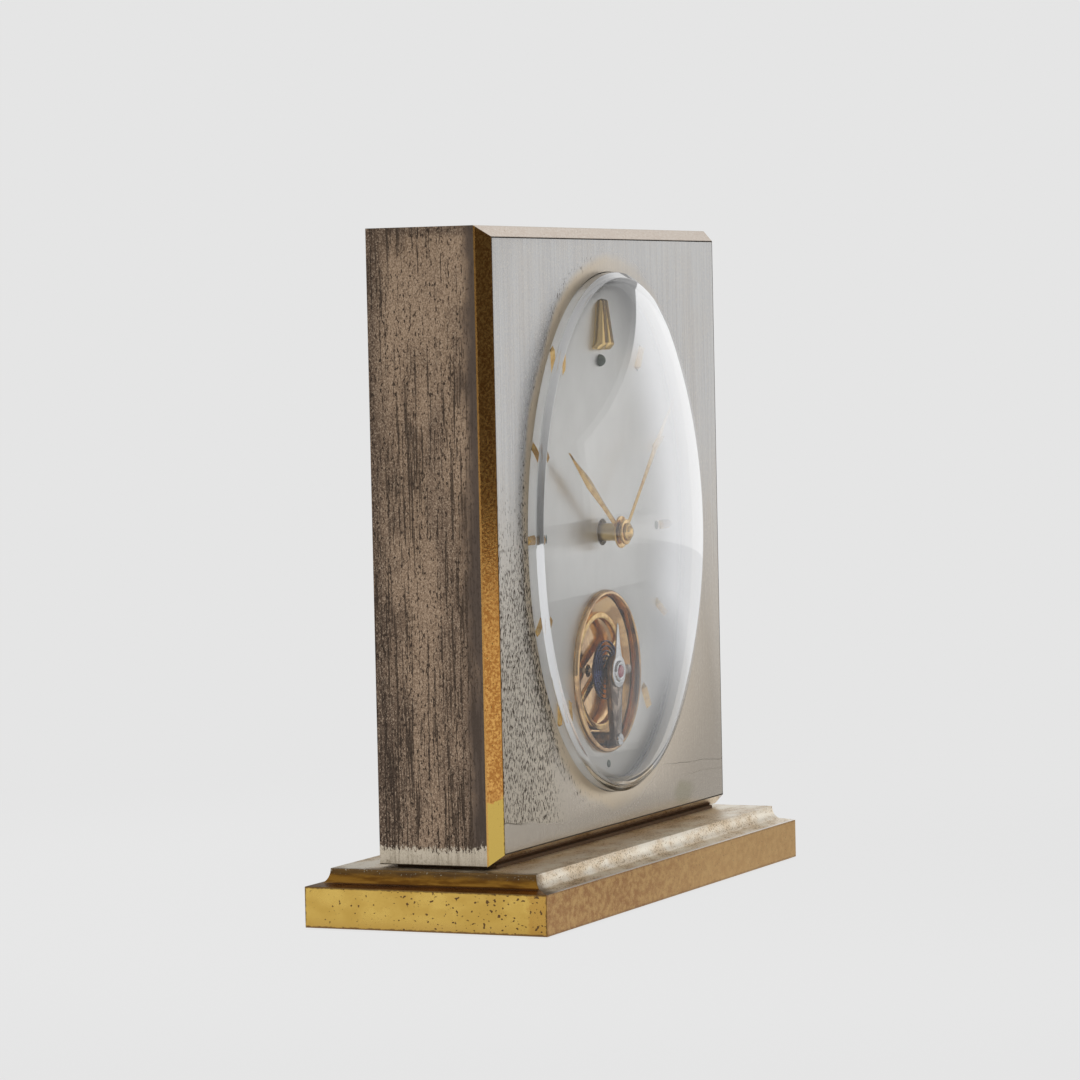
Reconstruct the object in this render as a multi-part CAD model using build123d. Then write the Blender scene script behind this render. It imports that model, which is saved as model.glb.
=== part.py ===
from build123d import *
from math import acos, atan2, cos, degrees, hypot, pi, radians, sin, sqrt, tan
import os

# Mantel clock: a brass case with a domed oval crystal, standing on a stepped base, with an
# eight-day lever movement whose balance shows through the dial.
#
# Millimetres, +Z up, the dial faces -Y. The origin is the centre of the base's underside.
# Everything but the base is drawn about the dial centre: a place is (x, z) from there, arbors
# run along Y, and depths are plain y values. Angles turn clockwise as the dial is read.

# Base
BASE_W, BASE_D = 117.0, 46.0
FELT_STANDS_OUT = 0.25
SLAB_TOP = 7.4
LEDGE = (2.0, 7.85)
COVE = ((2.75, 8.7), (3.2, 9.6), (3.4, 10.35))
BASE_TOP = COVE[-1][1]
BASE_SCREW_X = 30.0

# Case
CASE_W, CASE_H, CASE_D = 104.0, 110.0, 23.0
CASE_BOTTOM = 10.9
WALL = 3.0
CHAMFER, CHAMFER_DEEP = 2.0, 2.5
FRONT, BACK = -CASE_D / 2, CASE_D / 2
DIAL_Z = CASE_BOTTOM + CASE_H / 2
SHEET = 1.5
PANEL_W = CASE_W - 2 * CHAMFER - 0.2
PANEL_H = CASE_H - 2 * CHAMFER - 0.2
PLATE_SCREWS = [(x, z) for x in (-44.0, 44.0) for z in (-48.0, 48.0)]
COVER_SCREWS = [(x, z) for x in (-45.0, 45.0) for z in (-48.5, 48.5)]

# Crystal and dial
CRYSTAL_X, CRYSTAL_Z = 37.5, 47.0
CRYSTAL_WALL = 1.3
CRYSTAL_SHOULDER = FRONT - 2.6
CRYSTAL_APEX = FRONT - 10.5
FLANGE = 2.0
BEVEL = 1.1
DIAL_FRONT, DIAL_BACK = -9.1, -8.3
APERTURE_R = 14.3
MARKER_STARTS = {1: 33.6, 2: 28.2, 3: 27.0}
MARKER_LENGTH = 4.8

# Movement: the two plates, and each arbor's place
FRONT_PLATE = (-5.3, -3.8)
REAR_PLATE = (5.2, 6.7)
CENTRE = (0.0, 0.0)
BARREL = (0.0, 20.0)
INTERMEDIATE = (-8.05, 7.2)
THIRD = (6.94, -8.27)
FOURTH = (9.36, -17.30)
ESCAPE = (0.50, -15.74)
PALLETS = (0.26, -20.23)
BALANCE = (0.0, -25.2)
MINUTE_POST = (9.6, 0.0)
SETTING = (19.2, 0.0)
DIAL_FEET = [(-22.0, 10.0), (0.0, 31.0)]
PILLARS = [(-22.5, 31.0), (22.5, 31.0), (-22.5, -38.0), (22.5, -38.0)]
MOVEMENT_SCREWS = [(-31.0, 33.0), (31.0, 33.0), (-31.0, -36.0), (31.0, -36.0)]

# Gears: 25 degree involute teeth, with a little play
PRESSURE = radians(25)
ADDENDUM, DEDENDUM, PLAY = 0.8, 1.05, 0.08
BARREL_MOD, INTER_MOD, CENTRE_MOD, THIRD_MOD, FOURTH_MOD = 0.36, 0.30, 0.24, 0.22, 0.20
MINUTE_MOD, HOUR_MOD = 0.40, 0.384
ESCAPE_R = 3.6

# Fits
RUN = 0.05
PIVOT_R = 0.25

# Hands
HOUR_HAND = (-12.8, -12.45)
MINUTE_HAND = (-13.7, -13.35)
HOUR_LENGTH, MINUTE_LENGTH = 27.0, 33.5
HOUR_ANGLE, MINUTE_ANGLE = -56.25, 45.0


def across(sketch, front, back):
    """Thicken a sketch drawn in x and z, between two depths along y."""
    return extrude(Plane.XZ.offset(-front) * sketch, amount=front - back)


def rod(place, radius, front, back):
    """A round rod along y."""
    return across(Pos(*place) * Circle(radius), front, back)


def rods(places, radius, front, back):
    """Equal rods at several places."""
    return [rod(place, radius, front, back) for place in places]


def group(pieces):
    """Separate solids that share one node."""
    return Compound(children=list(pieces))


def outline(points):
    """A flat face with straight sides."""
    return make_face(Polyline(*points, close=True))


def taper(start, start_half, end, end_half):
    """A bar that narrows from one place to another, rounded at both ends."""
    length = hypot(end[0] - start[0], end[1] - start[1])
    side = ((start[1] - end[1]) / length, (end[0] - start[0]) / length)
    bar = outline(
        [
            (start[0] + side[0] * start_half, start[1] + side[1] * start_half),
            (end[0] + side[0] * end_half, end[1] + side[1] * end_half),
            (end[0] - side[0] * end_half, end[1] - side[1] * end_half),
            (start[0] - side[0] * start_half, start[1] - side[1] * start_half),
        ]
    )
    return bar + Pos(*start) * Circle(start_half) + Pos(*end) * Circle(end_half)


def toward(start, end):
    """The direction from one arbor to another, in radians from +x toward +z."""
    return atan2(end[1] - start[1], end[0] - start[0])


def polar(radius, angle):
    """A point at an angle in radians from +x toward +z."""
    return (radius * cos(angle), radius * sin(angle))


def involute(radius, base):
    """How far the involute has turned at a radius, in radians."""
    angle = acos(base / radius)
    return tan(angle) - angle


def gear(teeth, module, direction, tooth=True):
    """A toothed disc about its own centre, with a tooth, or else a gap, in one direction."""
    pitch = teeth * module / 2
    base = pitch * cos(PRESSURE)
    root = pitch - DEDENDUM * module
    tip = pitch + ADDENDUM * module
    foot = max(base, root)
    half = (pi / 4 - PLAY / 2) * module / pitch
    flank = [(r, half + involute(pitch, base) - involute(r, base)) for r in (foot, pitch, tip)]
    if base > root:
        flank.insert(0, (root, flank[0][1]))
    first = direction if tooth else direction + pi / teeth
    points = []
    for number in range(teeth):
        middle = first + 2 * pi * number / teeth
        points += [polar(r, middle - a) for r, a in flank]
        points += [polar(r, middle + a) for r, a in reversed(flank)]
    return outline(points)


def wheel(place, disc, front, back, bore):
    """A toothed disc on its arbor's seat."""
    return across(Pos(*place) * (disc - Circle(bore)), front, back)


def arbor(place, radius, front=FRONT_PLATE[1] + 0.1, back=REAR_PLATE[0] - 0.1):
    """An arbor between the plates, with a pivot at each end."""
    pivots = rods([place], PIVOT_R, front - 1.3, front) + rods([place], PIVOT_R, back, back + 1.3)
    return rod(place, radius, front, back) + pivots


def spiral(inner, outer, turns, thickness, start=0.0):
    """A flat coiled strip, drawn as one smooth band."""
    steps = int(turns * 12)

    def side(offset):
        return [
            polar(inner + offset + (outer - inner) * i / steps, start + 2 * pi * turns * i / steps)
            for i in range(steps + 1)
        ]

    near, far = side(-thickness / 2), side(thickness / 2)
    ends = Line(near[0], far[0]) + Line(near[-1], far[-1])
    return make_face(Spline(*near) + Spline(*far) + ends)


# ---------------------------------------------------------------- base


def base_step(lower, upper):
    """One sloping course of the base, between two (inset, height) pairs."""
    courses = [
        Plane.XY.offset(height) * Rectangle(BASE_W - 2 * inset, BASE_D - 2 * inset)
        for inset, height in (lower, upper)
    ]
    return loft(courses, ruled=True)


def base_screw_places():
    return [Pos(x, 0) for x in (-BASE_SCREW_X, BASE_SCREW_X)]


def base_plinth():
    """Solid base: upright slab, narrow ledge, hollow cove and a flat top."""
    slab = Pos(0, 0, (FELT_STANDS_OUT + SLAB_TOP) / 2)
    plinth = slab * Box(BASE_W, BASE_D, SLAB_TOP - FELT_STANDS_OUT)
    levels = ((0.0, SLAB_TOP), LEDGE, *COVE)
    for lower, upper in zip(levels, levels[1:]):
        plinth += base_step(lower, upper)
    plinth -= Pos(0, 0, 0.6) * Box(102, 34, 1.2)
    for place in base_screw_places():
        plinth -= place * Pos(0, 0, 2.5) * Cylinder(3.2, 5.0)
        plinth -= place * Pos(0, 0, 6.0) * Cylinder(1.7, 12.0)
    return plinth


def base_felt():
    return Pos(0, 0, 0.6) * Box(101.4, 33.4, 1.2)


def base_spacer():
    """Dark card under the case, a little smaller than it."""
    card = Pos(0, 0, (BASE_TOP + CASE_BOTTOM) / 2) * Box(98.4, 19.0, CASE_BOTTOM - BASE_TOP)
    for place in base_screw_places():
        card -= place * Pos(0, 0, BASE_TOP) * Cylinder(1.7, 3)
    return card


def base_screws():
    """Two screws up through the base into the case floor."""
    screws = []
    for place in base_screw_places():
        head = place * Pos(0, 0, 4.0) * Cylinder(2.9, 2.0)
        shank = place * Pos(0, 0, 9.0) * Cylinder(1.5, 8.4)
        screws.append(head + shank)
    return group(screws)


# ---------------------------------------------------------------- case


def corner_lugs(front, back):
    """Four square lugs inside the corners of the case."""
    size = 10.0
    x = CASE_W / 2 - WALL - size / 2 + 0.5
    z = CASE_H / 2 - WALL - size / 2 + 0.5
    return [
        across(Pos(sx * x, sz * z) * Rectangle(size, size), front, back)
        for sx in (-1, 1)
        for sz in (-1, 1)
    ]


def case_frame():
    """Brass box without front or back: bevelled front edge, a rebate and screw lugs each end."""
    rim = [
        Plane.XZ.offset(-FRONT) * Rectangle(CASE_W - 2 * CHAMFER, CASE_H - 2 * CHAMFER),
        Plane.XZ.offset(-FRONT - CHAMFER_DEEP) * Rectangle(CASE_W, CASE_H),
    ]
    frame = loft(rim, ruled=True)
    frame += across(Rectangle(CASE_W, CASE_H), FRONT + CHAMFER_DEEP, BACK)
    frame -= across(Rectangle(CASE_W - 2 * WALL, CASE_H - 2 * WALL), FRONT - 1, BACK + 1)
    rebate = Rectangle(PANEL_W + 0.1, PANEL_H + 0.1)
    frame -= across(rebate, FRONT - 1, FRONT + SHEET)
    frame -= across(rebate, BACK - SHEET, BACK + 1)
    frame += corner_lugs(-6.2, -4.2) + corner_lugs(BACK - SHEET - 2.5, BACK - SHEET)
    frame -= rods(PLATE_SCREWS, 1.35, -7, -4)
    frame -= rods(COVER_SCREWS, 0.9, BACK - SHEET - 3, BACK)
    for place in base_screw_places():
        frame -= place * Pos(0, 0, -CASE_H / 2) * Cylinder(1.5, 2 * WALL)
    return frame


def front_plate():
    """Front sheet with the oval opening, and a threaded boss behind each corner."""
    opening = Ellipse(CRYSTAL_X + 0.1, CRYSTAL_Z + 0.1)
    plate = across(Rectangle(PANEL_W, PANEL_H) - opening, FRONT, FRONT + SHEET)
    plate += rods(PLATE_SCREWS, 3.0, FRONT + SHEET - 0.1, DIAL_BACK)
    return plate - rods(PLATE_SCREWS, 1.25, FRONT + 0.7, DIAL_BACK + 0.1)


def dome_line(edge_r, edge_y, apex_y):
    """Half of a dome's section, from its apex on the axis to its edge."""
    rise = edge_y - apex_y
    radius = (edge_r**2 + rise**2) / (2 * rise)
    halfway = apex_y + radius - sqrt(radius**2 - (edge_r / 2) ** 2)
    return ThreePointArc((0, apex_y), (edge_r / 2, halfway), (edge_r, edge_y))


def crystal():
    """Domed glass: a round section turned about y, then narrowed across to an oval."""
    seat = FRONT + SHEET
    inner = CRYSTAL_Z - CRYSTAL_WALL
    section = (
        dome_line(CRYSTAL_Z - BEVEL, CRYSTAL_SHOULDER, CRYSTAL_APEX)
        + Polyline(
            (CRYSTAL_Z - BEVEL, CRYSTAL_SHOULDER),
            (CRYSTAL_Z, CRYSTAL_SHOULDER + BEVEL),
            (CRYSTAL_Z, seat),
            (CRYSTAL_Z + FLANGE, seat),
            (CRYSTAL_Z + FLANGE, DIAL_FRONT),
            (inner, DIAL_FRONT),
            (inner, CRYSTAL_SHOULDER + 1.1),
        )
        + dome_line(inner, CRYSTAL_SHOULDER + 1.1, CRYSTAL_APEX + CRYSTAL_WALL)
        + Line((0, CRYSTAL_APEX), (0, CRYSTAL_APEX + CRYSTAL_WALL))
    )
    return scale(revolve(make_face(section), Axis.Y), by=(CRYSTAL_X / CRYSTAL_Z, 1, 1))


def retaining_frame():
    """Frame behind the dial that clamps it and the crystal, and carries the movement."""
    frame = across(Rectangle(96, 102) - Ellipse(36.2, 45.6), DIAL_BACK, -6.3)
    frame += rods(MOVEMENT_SCREWS, 2.6, -6.4, FRONT_PLATE[0])
    frame -= rods(PLATE_SCREWS, 1.35, -9, -6)
    return frame - rods(MOVEMENT_SCREWS, 0.9, -7.8, FRONT_PLATE[0] + 0.1)


def screw(place, head_r, shank_r, head, tip):
    """A cheese-head screw seen from behind; head is (near, far) and the tip lies in front."""
    slot = across(Pos(*place) * Rectangle(2 * head_r + 1, 0.3 * head_r), head[1] - 0.5, head[1] + 1)
    return rod(place, head_r, *head) - slot + rod(place, shank_r, tip, head[0] + 0.1)


def retaining_screws():
    return group(screw(place, 2.2, 1.25, (-4.2, -3.0), -10.0) for place in PLATE_SCREWS)


def back_cover():
    """Rear sheet, with holes for the winding key and the setting stem."""
    cover = across(Rectangle(PANEL_W, PANEL_H), BACK - SHEET, BACK)
    cover -= rod(BARREL, 4.0, BACK - 3, BACK + 1)
    cover -= rod(SETTING, 1.6, BACK - 3, BACK + 1)
    return cover - rods(COVER_SCREWS, 1.1, BACK - 3, BACK + 1)


def back_cover_screws():
    head = (BACK, BACK + 1.0)
    return group(screw(place, 2.0, 0.9, head, BACK - SHEET - 2.4) for place in COVER_SCREWS)


# ---------------------------------------------------------------- dial


def dial():
    """Oval dial with two feet, and openings for the hands and the balance."""
    face = Ellipse(CRYSTAL_X * (1 + FLANGE / CRYSTAL_Z), CRYSTAL_Z + FLANGE)
    face -= Circle(2.4)
    face -= Pos(*BALANCE) * Circle(APERTURE_R + 0.2)
    return across(face, DIAL_FRONT, DIAL_BACK) + rods(DIAL_FEET, 0.8, DIAL_BACK - 0.1, FRONT_PLATE[0] + 1)


def faceted(bottom, top, start, end):
    """A bar along z with a ridge: bottom and top are each a (width, height) of its section."""
    ends = [
        Plane.XY.offset(z)
        * outline([(-w / 2, DIAL_FRONT), (w / 2, DIAL_FRONT), (0, DIAL_FRONT - h)])
        for z, (w, h) in ((start, bottom), (end, top))
    ]
    return loft(ends, ruled=True)


def twelve_marker():
    return faceted((6.8, 2.2), (2.85, 1.3), 32.9, 42.1)


def marker_hours():
    return [hour for hour in range(1, 12) if hour != 6]


def marker_start(hour):
    """How far out an hour's baton starts; the four quarters of the dial mirror each other."""
    return MARKER_STARTS[min(hour % 6, 6 - hour % 6)]


def hour_markers():
    """Ten faceted batons of one length along the rays of the hours."""
    bars = []
    for hour in marker_hours():
        start = marker_start(hour)
        bars.append(Rot(0, 30 * hour, 0) * faceted((1.7, 0.8), (1.5, 0.8), start, start + MARKER_LENGTH))
    return group(bars)


def luminous_dots():
    """A tall dot under twelve, and flat ones at three, six and nine."""
    flat = [(-25.4, 0.0), (25.4, 0.0), (0.0, -42.0)]
    return group(rods([(0.0, 31.0)], 1.1, DIAL_FRONT - 1.1, DIAL_FRONT) + rods(flat, 1.0, DIAL_FRONT - 0.25, DIAL_FRONT))


def aperture_bezel():
    """Gilt rim of the balance opening: a flange on the dial and a sleeve through it."""
    flange = Pos(*BALANCE) * (Circle(APERTURE_R + 0.5) - Circle(APERTURE_R - 0.4))
    sleeve = Pos(*BALANCE) * (Circle(APERTURE_R + 0.2) - Circle(APERTURE_R - 0.4))
    return across(flange, DIAL_FRONT - 0.9, DIAL_FRONT) + across(sleeve, DIAL_FRONT, DIAL_BACK)


# ---------------------------------------------------------------- hands and motion work


def hand(length, hub_r, bore, waist, belly, depth):
    """A lance-shaped hand pointing at twelve."""
    blade = outline(
        [
            (-waist / 2, 0),
            (-waist / 2, length * 0.35),
            (-belly / 2, length * 0.62),
            (0, length),
            (belly / 2, length * 0.62),
            (waist / 2, length * 0.35),
            (waist / 2, 0),
        ]
    )
    return across(blade + Circle(hub_r) - Circle(bore), *depth)


def hour_hand():
    return Rot(0, HOUR_ANGLE, 0) * hand(HOUR_LENGTH, 2.9, 1.6, 1.2, 2.1, HOUR_HAND)


def minute_hand():
    return Rot(0, MINUTE_ANGLE, 0) * hand(MINUTE_LENGTH, 2.3, 0.8, 0.9, 1.5, MINUTE_HAND)


def hand_nut():
    """Domed cap that holds the minute hand."""
    cap = rod(CENTRE, 1.6, MINUTE_HAND[0] - 0.7, MINUTE_HAND[0])
    cap += rod(CENTRE, 1.1, MINUTE_HAND[0] - 1.1, MINUTE_HAND[0] - 0.6)
    return cap - rod(CENTRE, 0.8, MINUTE_HAND[0] - 0.6, MINUTE_HAND[0] + 0.1)


def cannon_pinion():
    """Long pipe on the centre arbor, with its pinion at the back."""
    toothed = gear(12, MINUTE_MOD, toward(CENTRE, MINUTE_POST), tooth=False)
    pipe = across(toothed, -7.0, -5.5) + rod(CENTRE, 1.1, MINUTE_HAND[1], -6.9)
    pipe += rod(CENTRE, 0.8, MINUTE_HAND[0] - 0.6, MINUTE_HAND[1] + 0.1)
    return pipe - rod(CENTRE, 0.6 + RUN, -13.1, -5.4)


def hour_wheel():
    """Forty-tooth wheel whose pipe carries the hour hand."""
    toothed = gear(40, HOUR_MOD, toward(CENTRE, MINUTE_POST))
    pipe = across(toothed, -8.0, -7.4) + rod(CENTRE, 1.6, HOUR_HAND[0] - 0.1, -7.9)
    return pipe - rod(CENTRE, 1.1 + RUN, -13.5, -7.3)


def minute_wheel():
    """Wheel and pinion in one, on the post."""
    direction = toward(MINUTE_POST, CENTRE)
    pinion = across(gear(10, HOUR_MOD, direction, tooth=False), -8.1, -6.7)
    pair = across(gear(36, MINUTE_MOD, direction), -6.8, -6.2) + pinion
    return Pos(MINUTE_POST[0], 0, MINUTE_POST[1]) * (pair - rod(CENTRE, 0.7 + RUN, -9, -6))


def minute_wheel_post():
    post = rod(MINUTE_POST, 0.7, -8.2, FRONT_PLATE[0] + 1)
    return post + rod(MINUTE_POST, 1.2, -6.1, FRONT_PLATE[0])


def setting_arbor():
    """Stem that turns the hands from behind."""
    toothed = gear(12, MINUTE_MOD, toward(SETTING, MINUTE_POST), tooth=False)
    stem = across(Pos(*SETTING) * toothed, -7.0, -5.5) + rod(SETTING, 0.6, -5.6, 15.5)
    return stem + rod(SETTING, 1.2, -3.7, -3.0) + rod(SETTING, 1.2, 4.4, 5.1)


def setting_knob():
    """Fluted knob on the stem."""
    flutes = [Pos(*polar(4.35, 2 * pi * i / 20)) * Circle(0.3) for i in range(20)]
    knob = across(Pos(*SETTING) * (Circle(4.2) - flutes), 12.5, 16.5)
    return knob - rod(SETTING, 0.6, 12.0, 15.5)


# ---------------------------------------------------------------- movement frame


def pivot_holes(places, plate):
    return rods(places, PIVOT_R + RUN, plate[0] - 1, plate[1] + 1)


def movement_front_plate():
    depth = (FRONT_PLATE[0] - 1, FRONT_PLATE[1] + 1)
    plate = across(Pos(0, -1) * RectangleRounded(70, 84, 4), *FRONT_PLATE)
    plate -= pivot_holes([INTERMEDIATE, THIRD, FOURTH], FRONT_PLATE)
    plate -= rods([ESCAPE, PALLETS], 0.9, *depth)
    plate -= rods([CENTRE, SETTING], 0.6 + RUN, *depth)
    plate -= rod(BARREL, 1.2 + RUN, *depth)
    plate -= rod(BALANCE, 1.0, *depth)
    plate -= rods([MINUTE_POST], 0.7, *depth)
    plate -= rods(DIAL_FEET, 0.8, *depth)
    plate -= rods(PILLARS, 0.9, *depth)
    plate -= rod(cock_foot(), 0.5, *depth)
    return plate - rods(MOVEMENT_SCREWS, 0.9, *depth)


def movement_rear_plate():
    depth = (REAR_PLATE[0] - 1, REAR_PLATE[1] + 1)
    plate = across(Pos(0, -3.5) * RectangleRounded(53, 77, 4), *REAR_PLATE)
    plate -= pivot_holes([INTERMEDIATE, CENTRE, THIRD, FOURTH], REAR_PLATE)
    plate -= rods([ESCAPE, PALLETS, BALANCE], 0.9, *depth)
    plate -= rod(SETTING, 0.6 + RUN, *depth)
    plate -= rod(BARREL, 1.6 + RUN, *depth)
    plate -= rods([CLICK_PIVOT, CLICK_SPRING_POST], 0.6, *depth)
    return plate - rods(PILLARS, 0.9, *depth)


def pillars():
    """Four round pillars, riveted into the front plate and tapped behind."""
    posts = []
    for place in PILLARS:
        post = rod(place, 2.0, FRONT_PLATE[1], REAR_PLATE[0]) + rod(place, 0.9, FRONT_PLATE[0], -3.7)
        posts.append(post - rod(place, 0.8, 2.0, REAR_PLATE[0] + 1))
    return group(posts)


def pillar_screws():
    head = (REAR_PLATE[1], REAR_PLATE[1] + 1.0)
    return group(screw(place, 1.8, 0.8, head, 2.4) for place in PILLARS)


def movement_screws():
    head = (FRONT_PLATE[1], FRONT_PLATE[1] + 1.0)
    return group(screw(place, 1.8, 0.9, head, -7.6) for place in MOVEMENT_SCREWS)


def pivot_jewels():
    """Pierced jewels pressed into the plates for the fast arbors."""
    jewel = Circle(0.9) - Circle(PIVOT_R + RUN)
    front = [across(Pos(*place) * jewel, *FRONT_PLATE) for place in (ESCAPE, PALLETS)]
    rear = [across(Pos(*place) * jewel, *REAR_PLATE) for place in (ESCAPE, PALLETS, BALANCE)]
    return group(front + rear)


# ---------------------------------------------------------------- winding

RATCHET = (6.9, 7.7)
RATCHET_R = 8.0
RATCHET_TEETH = 30
CLICK_PIVOT = (12.0, 26.0)
CLICK_SPRING_POST = (17.0, 17.0)
SQUARE = 2.2


def barrel_drum():
    """Toothed drum that the mainspring drives."""
    toothed = gear(72, BARREL_MOD, toward(BARREL, INTERMEDIATE))
    drum = wheel(BARREL, toothed, 4.0, 4.8, 1.6 + RUN)
    return drum + across(Pos(*BARREL) * (Circle(12.3) - Circle(11.7)), -0.2, 4.1)


def barrel_cover():
    return across(Pos(*BARREL) * (Circle(11.7) - Circle(1.6 + RUN)), -0.2, 0.3)


def mainspring():
    return across(Pos(*BARREL) * spiral(3.3, 11.4, 9, 0.25), 0.6, 3.7)


def barrel_arbor():
    """Arbor with the spring's core, and a square behind for ratchet and key."""
    body = rod(BARREL, 1.2, -5.2, 0) + rod(BARREL, 1.6, -3.7, REAR_PLATE[1] + 0.1)
    body += rod(BARREL, 3.0, 0.5, 3.8)
    return body + across(Pos(*BARREL) * Rectangle(SQUARE, SQUARE), REAR_PLATE[1], 13.6)


def ratchet_wheel():
    """Saw-toothed wheel on the square."""
    points = []
    for number in range(RATCHET_TEETH):
        angle = 2 * pi * number / RATCHET_TEETH
        points += [polar(RATCHET_R - 1.0, angle), polar(RATCHET_R, angle)]
    return across(Pos(*BARREL) * (outline(points) - Rectangle(SQUARE, SQUARE)), *RATCHET)


def click_nose():
    """The click's tip stops just outside the ratchet's teeth."""
    return tuple(b + p for b, p in zip(BARREL, polar(RATCHET_R + 0.55, radians(5))))


def click():
    """Pawl on its own shouldered pivot."""
    pawl = across(taper(CLICK_PIVOT, 1.6, click_nose(), 0.35), *RATCHET)
    pawl += rod(CLICK_PIVOT, 1.2, RATCHET[1] - 0.1, RATCHET[1] + 0.5)
    return pawl + rod(CLICK_PIVOT, 0.6 - RUN, REAR_PLATE[0] - 0.1, RATCHET[0] + 0.1)


def click_spring():
    """Bent wire that rests near the pawl's back."""
    wire = across(taper(CLICK_SPRING_POST, 0.9, (14.6, 23.4), 0.25), RATCHET[0] + 0.1, RATCHET[1])
    return wire + rod(CLICK_SPRING_POST, 0.6, REAR_PLATE[0], RATCHET[0] + 0.2)


def winding_key():
    """Butterfly key on the arbor's square."""
    pipe = rod(BARREL, 2.6, 8.6, 17.0)
    pipe -= across(Pos(*BARREL) * Rectangle(SQUARE + 0.06, SQUARE + 0.06), 8, 14.0)
    wings = Rectangle(7, 4.4) + [Pos(x, 0) * Circle(4.6) for x in (-6.2, 6.2)]
    bow = extrude(Plane.XY.offset(-0.9) * wings, amount=1.8)
    return pipe + Pos(BARREL[0], 17.2, BARREL[1]) * bow


# ---------------------------------------------------------------- going train


def intermediate_wheel():
    toothed = gear(60, INTER_MOD, toward(INTERMEDIATE, CENTRE))
    pinion = gear(12, BARREL_MOD, toward(INTERMEDIATE, BARREL), tooth=False)
    discs = across(Pos(*INTERMEDIATE) * toothed, -1.6, -1.0) + across(Pos(*INTERMEDIATE) * pinion, 3.8, 5.0)
    return arbor(INTERMEDIATE, 0.5) + discs


def centre_wheel():
    return wheel(CENTRE, gear(80, CENTRE_MOD, toward(CENTRE, THIRD)), -3.4, -2.8, 0.8)


def centre_arbor():
    """Arbor that reaches through the dial, with its pinion."""
    pinion = across(gear(12, INTER_MOD, toward(CENTRE, INTERMEDIATE), tooth=False), -1.9, -0.7)
    shaft = rod(CENTRE, 0.8, -3.7, 5.1) + rod(CENTRE, 0.6, -13.0, -3.6) + rod(CENTRE, PIVOT_R, 5.0, 6.4)
    return shaft + pinion


def third_wheel():
    toothed = gear(75, THIRD_MOD, toward(THIRD, FOURTH))
    pinion = gear(10, CENTRE_MOD, toward(THIRD, CENTRE), tooth=False)
    discs = across(Pos(*THIRD) * toothed, -0.4, 0.2) + across(Pos(*THIRD) * pinion, -3.5, -2.7)
    return arbor(THIRD, 0.45) + discs


def fourth_wheel():
    toothed = gear(80, FOURTH_MOD, toward(FOURTH, ESCAPE))
    pinion = gear(10, THIRD_MOD, toward(FOURTH, THIRD), tooth=False)
    discs = across(Pos(*FOURTH) * toothed, 1.0, 1.6) + across(Pos(*FOURTH) * pinion, -0.5, 0.3)
    return arbor(FOURTH, 0.4) + discs


def escape_wheel():
    """Fifteen raked teeth on the fastest arbor."""
    points = []
    for number in range(15):
        angle = 2 * pi * number / 15
        points += [polar(2.7, angle), polar(ESCAPE_R, angle + 0.05), polar(ESCAPE_R, angle + 0.11)]
        points.append(polar(2.7, angle + 0.26))
    pinion = gear(10, FOURTH_MOD, toward(ESCAPE, FOURTH), tooth=False)
    discs = across(Pos(*ESCAPE) * outline(points), -3.3, -2.7) + across(Pos(*ESCAPE) * pinion, 0.9, 1.7)
    return arbor(ESCAPE, 0.35) + discs


def stone_place(side):
    """A pallet stone's middle, just outside the escape wheel's tips."""
    angle = toward(ESCAPE, PALLETS) + side * radians(36)
    return tuple(e + p for e, p in zip(ESCAPE, polar(4.55, angle)))


def pallet_fork():
    """Lever with an arm for each stone and a forked end at the balance."""
    lever_end = tuple(p + q for p, q in zip(PALLETS, polar(2.9, toward(PALLETS, BALANCE))))
    body = taper(PALLETS, 0.7, lever_end, 0.45)
    for side in (-1, 1):
        body += taper(PALLETS, 0.6, stone_place(side), 0.4)
        horn = polar(3.3, toward(PALLETS, BALANCE) + side * 0.12)
        body += taper(lever_end, 0.3, tuple(p + q for p, q in zip(PALLETS, horn)), 0.15)
    return across(body, -3.3, -2.7) + arbor(PALLETS, 0.35)


def pallet_stones():
    stones = []
    for side in (-1, 1):
        x, z = stone_place(side)
        slope = degrees(toward(ESCAPE, PALLETS)) + side * 36
        stones.append(across(Pos(x, z) * Rot(0, 0, slope) * Rectangle(1.0, 0.4), -2.7, -2.5))
    return group(stones)


# ---------------------------------------------------------------- balance

COCK = (-11.2, -10.0)
COCK_FOOT_R = 1.3
RIM = (-8.2, -7.0)
RIM_R = 10.75
ARM_ANGLE = radians(210)
HAIRSPRING = (-9.3, -8.7)
STUD = (6.2, -25.2)


def cock_foot():
    """The cock stands between the balance's rim and the bezel's sleeve."""
    return (BALANCE[0], BALANCE[1] - 12.3)


def balance_wheel():
    """Plain rim with two arms."""
    rim = Circle(RIM_R) - Circle(RIM_R - 1.2)
    arms = Rot(0, 0, degrees(ARM_ANGLE)) * Rectangle(2 * RIM_R - 1.4, 1.5) + Circle(1.7)
    return across(Pos(*BALANCE) * (rim + arms - Circle(0.5)), *RIM)


def balance_staff():
    """Staff from the cock to the rear plate, with the collet for the hairspring."""
    staff = rod(BALANCE, 0.5, -9.9, 5.1) + rod(BALANCE, 0.2, -10.9, -9.8) + rod(BALANCE, 0.2, 5.0, 6.4)
    return staff + rod(BALANCE, 1.1, HAIRSPRING[0], HAIRSPRING[1])


def roller():
    """Impulse roller; its pin works in front of it."""
    disc = across(Pos(*BALANCE) * (Circle(1.8) - Circle(0.5)), -2.5, -1.9)
    pin = tuple(b + p for b, p in zip(BALANCE, polar(1.05, toward(BALANCE, PALLETS))))
    return disc + rod(pin, 0.18, -3.2, -2.4)


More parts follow.
